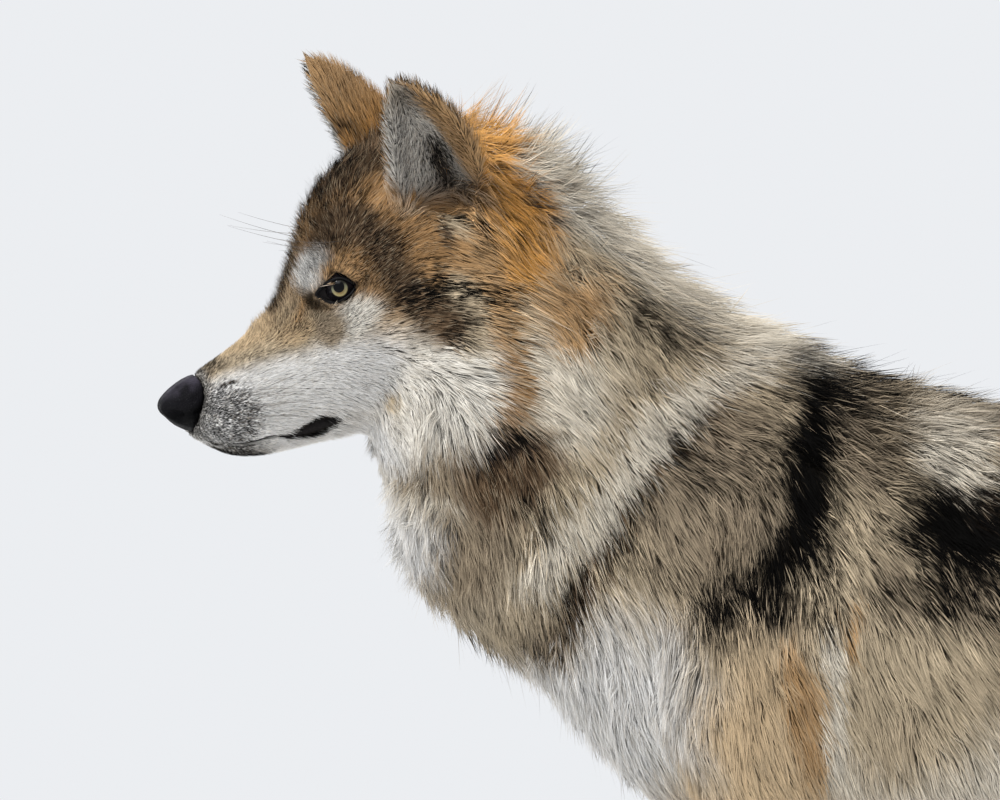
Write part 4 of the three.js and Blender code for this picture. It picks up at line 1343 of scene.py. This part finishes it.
def grow_coat():
    length = SKIN_SIZE[:, 0]
    covered = 1 - on_faces(SKIN_BARE)
    for name, (wanted, layers, coarse, bends) in coat_zones().items():
        density = on_faces(2 * layers / (length * width_of(length) * coarse))
        grow(name, density * wanted[SKIN_F[:, 0]] * covered, coarse, bends)
    # Loose guard hairs that stand out of the outline, most of all over the nape, and the forehead's fuzz.
    crown = crown_share(SKIN_V)[0] * (1 - SKIN_BARE) * (1 - EAR)
    grow("coat_guard", on_faces(step(0.02, 0.05, length) * 6000), 0.5, True, (1.0, 1.3), 1.35)
    grow("coat_nape", on_faces(nape_share(SKIN_V) * 90000), 0.5, True, (0.95, 1.35), 1.5)
    grow("coat_crown", on_faces(crown * 190000), 0.6, False, (0.6, 1.0), 1.5)


grow_coat()

# ------------------------------------------------------------------ eyes, nose, whiskers and claws
GAZE = {"left": (65.0, 0.17), "right": (56.0, 0.12)}  # where each eye looks: degrees out from the nose, rise
CORNEA = 0.7  # mm that it bulges out of the ball


def eyeball(side):
    """A ball with a bulging cornea; "gaze" keeps the distance (mm), turn and height from its middle."""
    rings, around = 40, 56
    turned, rise = GAZE[side]
    out = unit(outward(turned, side, rise))
    up = unit(np.array([0, 0, 1.0]) - out * out[2])
    across = np.cross(up, out)
    v, gaze = [out * (EYE_RADIUS + CORNEA)], [(0.0, 0.0, 0.0)]
    for i in range(1, rings):
        tilt = math.pi * i / rings
        radius = EYE_RADIUS + CORNEA * (1 - float(step(0.3, 0.72, tilt)))
        arc = EYE_RADIUS * tilt
        for k in range(around):
            t = 2 * math.pi * k / around
            flat = radius * math.sin(tilt)
            v.append(out * radius * math.cos(tilt) + (up * math.cos(t) + across * math.sin(t)) * flat)
            gaze.append((arc, 3.0 * math.cos(t) + 5.0 * math.sin(2 * t), arc * math.cos(t)))
    v.append(-out * EYE_RADIUS)
    gaze.append((38.0, 0.0, 0.0))
    f = [(0, 1 + k, 1 + (k + 1) % around) for k in range(around)]
    for start in range(1, 1 + (rings - 2) * around, around):
        for k in range(around):
            a, b = start + k, start + (k + 1) % around
            f += [(a, a + around, b + around), (a, b + around, b)]
    last = 1 + (rings - 2) * around
    f += [(last + k, len(v) - 1, last + (k + 1) % around) for k in range(around)]
    ball = finished(f"eyeball_{side}", from_head(np.array(v) + EYES[side]), np.array(f), EYE_FINISH, "eye")
    set_numbers(ball.data, "gaze", np.array(gaze))
    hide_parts(f"eye_{side}")


def tube(path, radii, sides, closed):
    """A round closed solid along a path, in metres."""
    count = len(path)
    ahead = unit(np.roll(path, -1, 0) - np.roll(path, 1, 0) if closed else np.gradient(path, axis=0))
    side = unit(np.cross(ahead, np.array([0.31, 0.17, 0.93])))  # any way that no path here runs along
    up = np.cross(side, ahead)
    turns = np.arange(sides) * 2 * math.pi / sides
    ring = side[:, None] * np.cos(turns)[None, :, None] + up[:, None] * np.sin(turns)[None, :, None]
    v = (path[:, None] + ring * np.asarray(radii)[:, None, None]).reshape(-1, 3)
    f = []
    for i in range(count if closed else count - 1):
        j = (i + 1) % count
        for k in range(sides):
            m = (k + 1) % sides
            a, b = i * sides + k, j * sides + m
            f += [(a, i * sides + m, b), (a, b, j * sides + k)]
    if not closed:
        f += [(0, k + 1, k) for k in range(1, sides - 1)]
        end = (count - 1) * sides
        f += [(end, end + k, end + k + 1) for k in range(1, sides - 1)]
    return v, np.array(f)


def face_out(work):
    bmesh.ops.recalc_face_normals(work, faces=work.faces)


def finished(name, v, f, material, slot):
    """A piece made of arrays, with its faces turned to point out."""
    return placed(name, edited(mesh_from(name, v, f), face_out), material, slot)


def lid_rim(side):
    """The black, wet edge of the lids."""
    loop = smooth_loop(LID_EDGE, 8)
    flat = np.stack([shell(loop, 0.9), loop[:, 0], loop[:, 1]], 1)
    path = from_head(flat @ eye_frame(side) + EYES[side])
    radii = np.where(loop[:, 1] < 0, 0.75, 1.0) / 1000
    finished(f"lid_rim_{side}", *tube(path, radii, 8, True), RIM_FINISH, "nose")


def nose_pad():
    """The nose pad, with its nostrils, side slits and middle groove."""
    v, f = remeshed(*arrays_of(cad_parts["nose"].data), 0.0011)
    v = faired(v, f, 10)
    h = to_head(v)
    normal = vertex_normals(v, f) @ HEAD
    for s in (-1, 1):
        q = (h - np.array([10.0, s * 10.5, -10.5])) / (6.6, 4.6, 4.4)
        h = h - normal * (4.6 * np.exp(-((q**2).sum(1) * 1.3)))[:, None]
        slit = np.array([(12, s * 12, -11), (20, s * 15.5, -13), (27, s * 17, -13.5)], float)
        h = h - normal * (2.0 * bell(to_line(h, slit)[0], 0, 1.6))[:, None]
    groove = bell(h[:, 1], 0, 1.1) * fade(-9, -4, h[:, 2])
    h = h - normal * (1.2 * groove)[:, None]
    pad = finished("nose_pad", from_head(h), f, nose_material(), "nose")
    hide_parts("nose")


def whiskers():
    """Long whiskers on the lips and brows, as thin tapered solids."""
    starts = []
    for s in (-1, 1):
        for u, w, v in WHISKERS:
            long = RNG.uniform(34, 62) * (0.55 + 0.45 * min((u - 30) / 35, 1.0))
            starts.append((np.array([u, s * w, v]), np.array([0.8, s * 0.75, -0.12]), long, 9.0))
        for k in range(4):
            brow = np.array([138 + k * 4, s * (24 + k * 5), 66 + k * 1.5])
            starts.append((brow, np.array([-0.8, s * 0.5, 0.35]), RNG.uniform(36, 52), -12.0))
    vs, fs, count = [], [], 0
    t = np.linspace(0, 1, 9)
    for place, way, long, droop in starts:
        at, n, _, _ = SKIN_TREE.find_nearest(Vector(from_head(place)))
        way = unit(way + RNG.normal(0, 0.12, 3))
        path = np.outer(t * long, way) + np.outer(t**2 * droop, (0.6, 0, -0.8))
        path = np.array(at) - np.array(n) * 0.001 + path @ HEAD.T / 1000
        v, f = tube(path, np.interp(t, [0, 1], [0.00022, 0.00005]), 3, False)
        vs.append(v)
        fs.append(f + count)
        count += len(v)
    hair = plain_material("whisker", (66, 60, 55), (128, 120, 112), 40.0, 2.0, 0.4)
    finished("whiskers", np.concatenate(vs), np.concatenate(fs), hair, "nose")


EYE_FINISH = eye_material()
RIM_FINISH = plain_material("lid rim", (5, 5, 6), (10, 9, 10), 1100.0, 3.0, 0.4, 0.14, 0.25)
for eye_side in EYES:
    eyeball(eye_side)
    lid_rim(eye_side)
nose_pad()
whiskers()
HORN_STRETCH = (0.2, 1.0, 1.0)  # its fibres run along the claws
HORN = plain_material("claw horn", (46, 40, 36), (88, 76, 64), 900.0, 3.0, 0.42, 0.5, 0.3, HORN_STRETCH)
for node_name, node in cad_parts.items():
    if node_name.startswith("claw"):
        node.data.materials.clear()
        node.data.materials.append(HORN)
        rounding = node.modifiers.new("rounding", "SUBSURF")
        rounding.levels = rounding.render_levels = 2

# ------------------------------------------------------------------ camera, light and floor
TARGET = from_body((239.4, 0, 702.9))
DISTANCE = 9.0
camera = add_object("camera", bpy.data.cameras.new("camera"))
camera.data.lens = 463.0
camera.data.sensor_width = 36.0
camera.data.clip_end = 200.0
camera.location = Vector(TARGET) + Vector((0, -DISTANCE, 0))
camera.rotation_euler = (math.pi / 2, 0, 0)
bpy.context.scene.camera = camera


def area_light(name, place, aim, size, power):
    light = add_object(name, bpy.data.lights.new(name, "AREA"))
    light.data.size = size
    light.data.energy = power
    light.location = place
    light.rotation_euler = (Vector(aim) - Vector(place)).to_track_quat("-Z", "Y").to_euler()


area_light("sky_left", (-2.6, -3.4, 4.2), (-0.2, 0, 0.6), 3.0, 150)
area_light("sky_back", (2.5, 3.2, 3.8), (0, 0, 0.6), 3.0, 90)
area_light("catch", (-2.0, -1.0, 2.45), (-0.45, -0.08, 0.79), 0.15, 12)  # small, for the glint in the eyes
world = bpy.data.worlds.new("studio")
bpy.context.scene.world = world
world.use_nodes = True
world.node_tree.nodes["Background"].inputs["Color"].default_value = (0.95, 0.97, 1.0, 1)
world.node_tree.nodes["Background"].inputs["Strength"].default_value = 0.88
bpy.context.scene.view_settings.view_transform = "Standard"

bpy.ops.mesh.primitive_circle_add(vertices=96, radius=2.6, fill_type="NGON", location=(0, 0, -0.0005))
floor = bpy.context.object
floor.name = "floor"
floor.data.materials.append(Nodes("floor").surface((0.8, 0.8, 0.8, 1), 0.9))
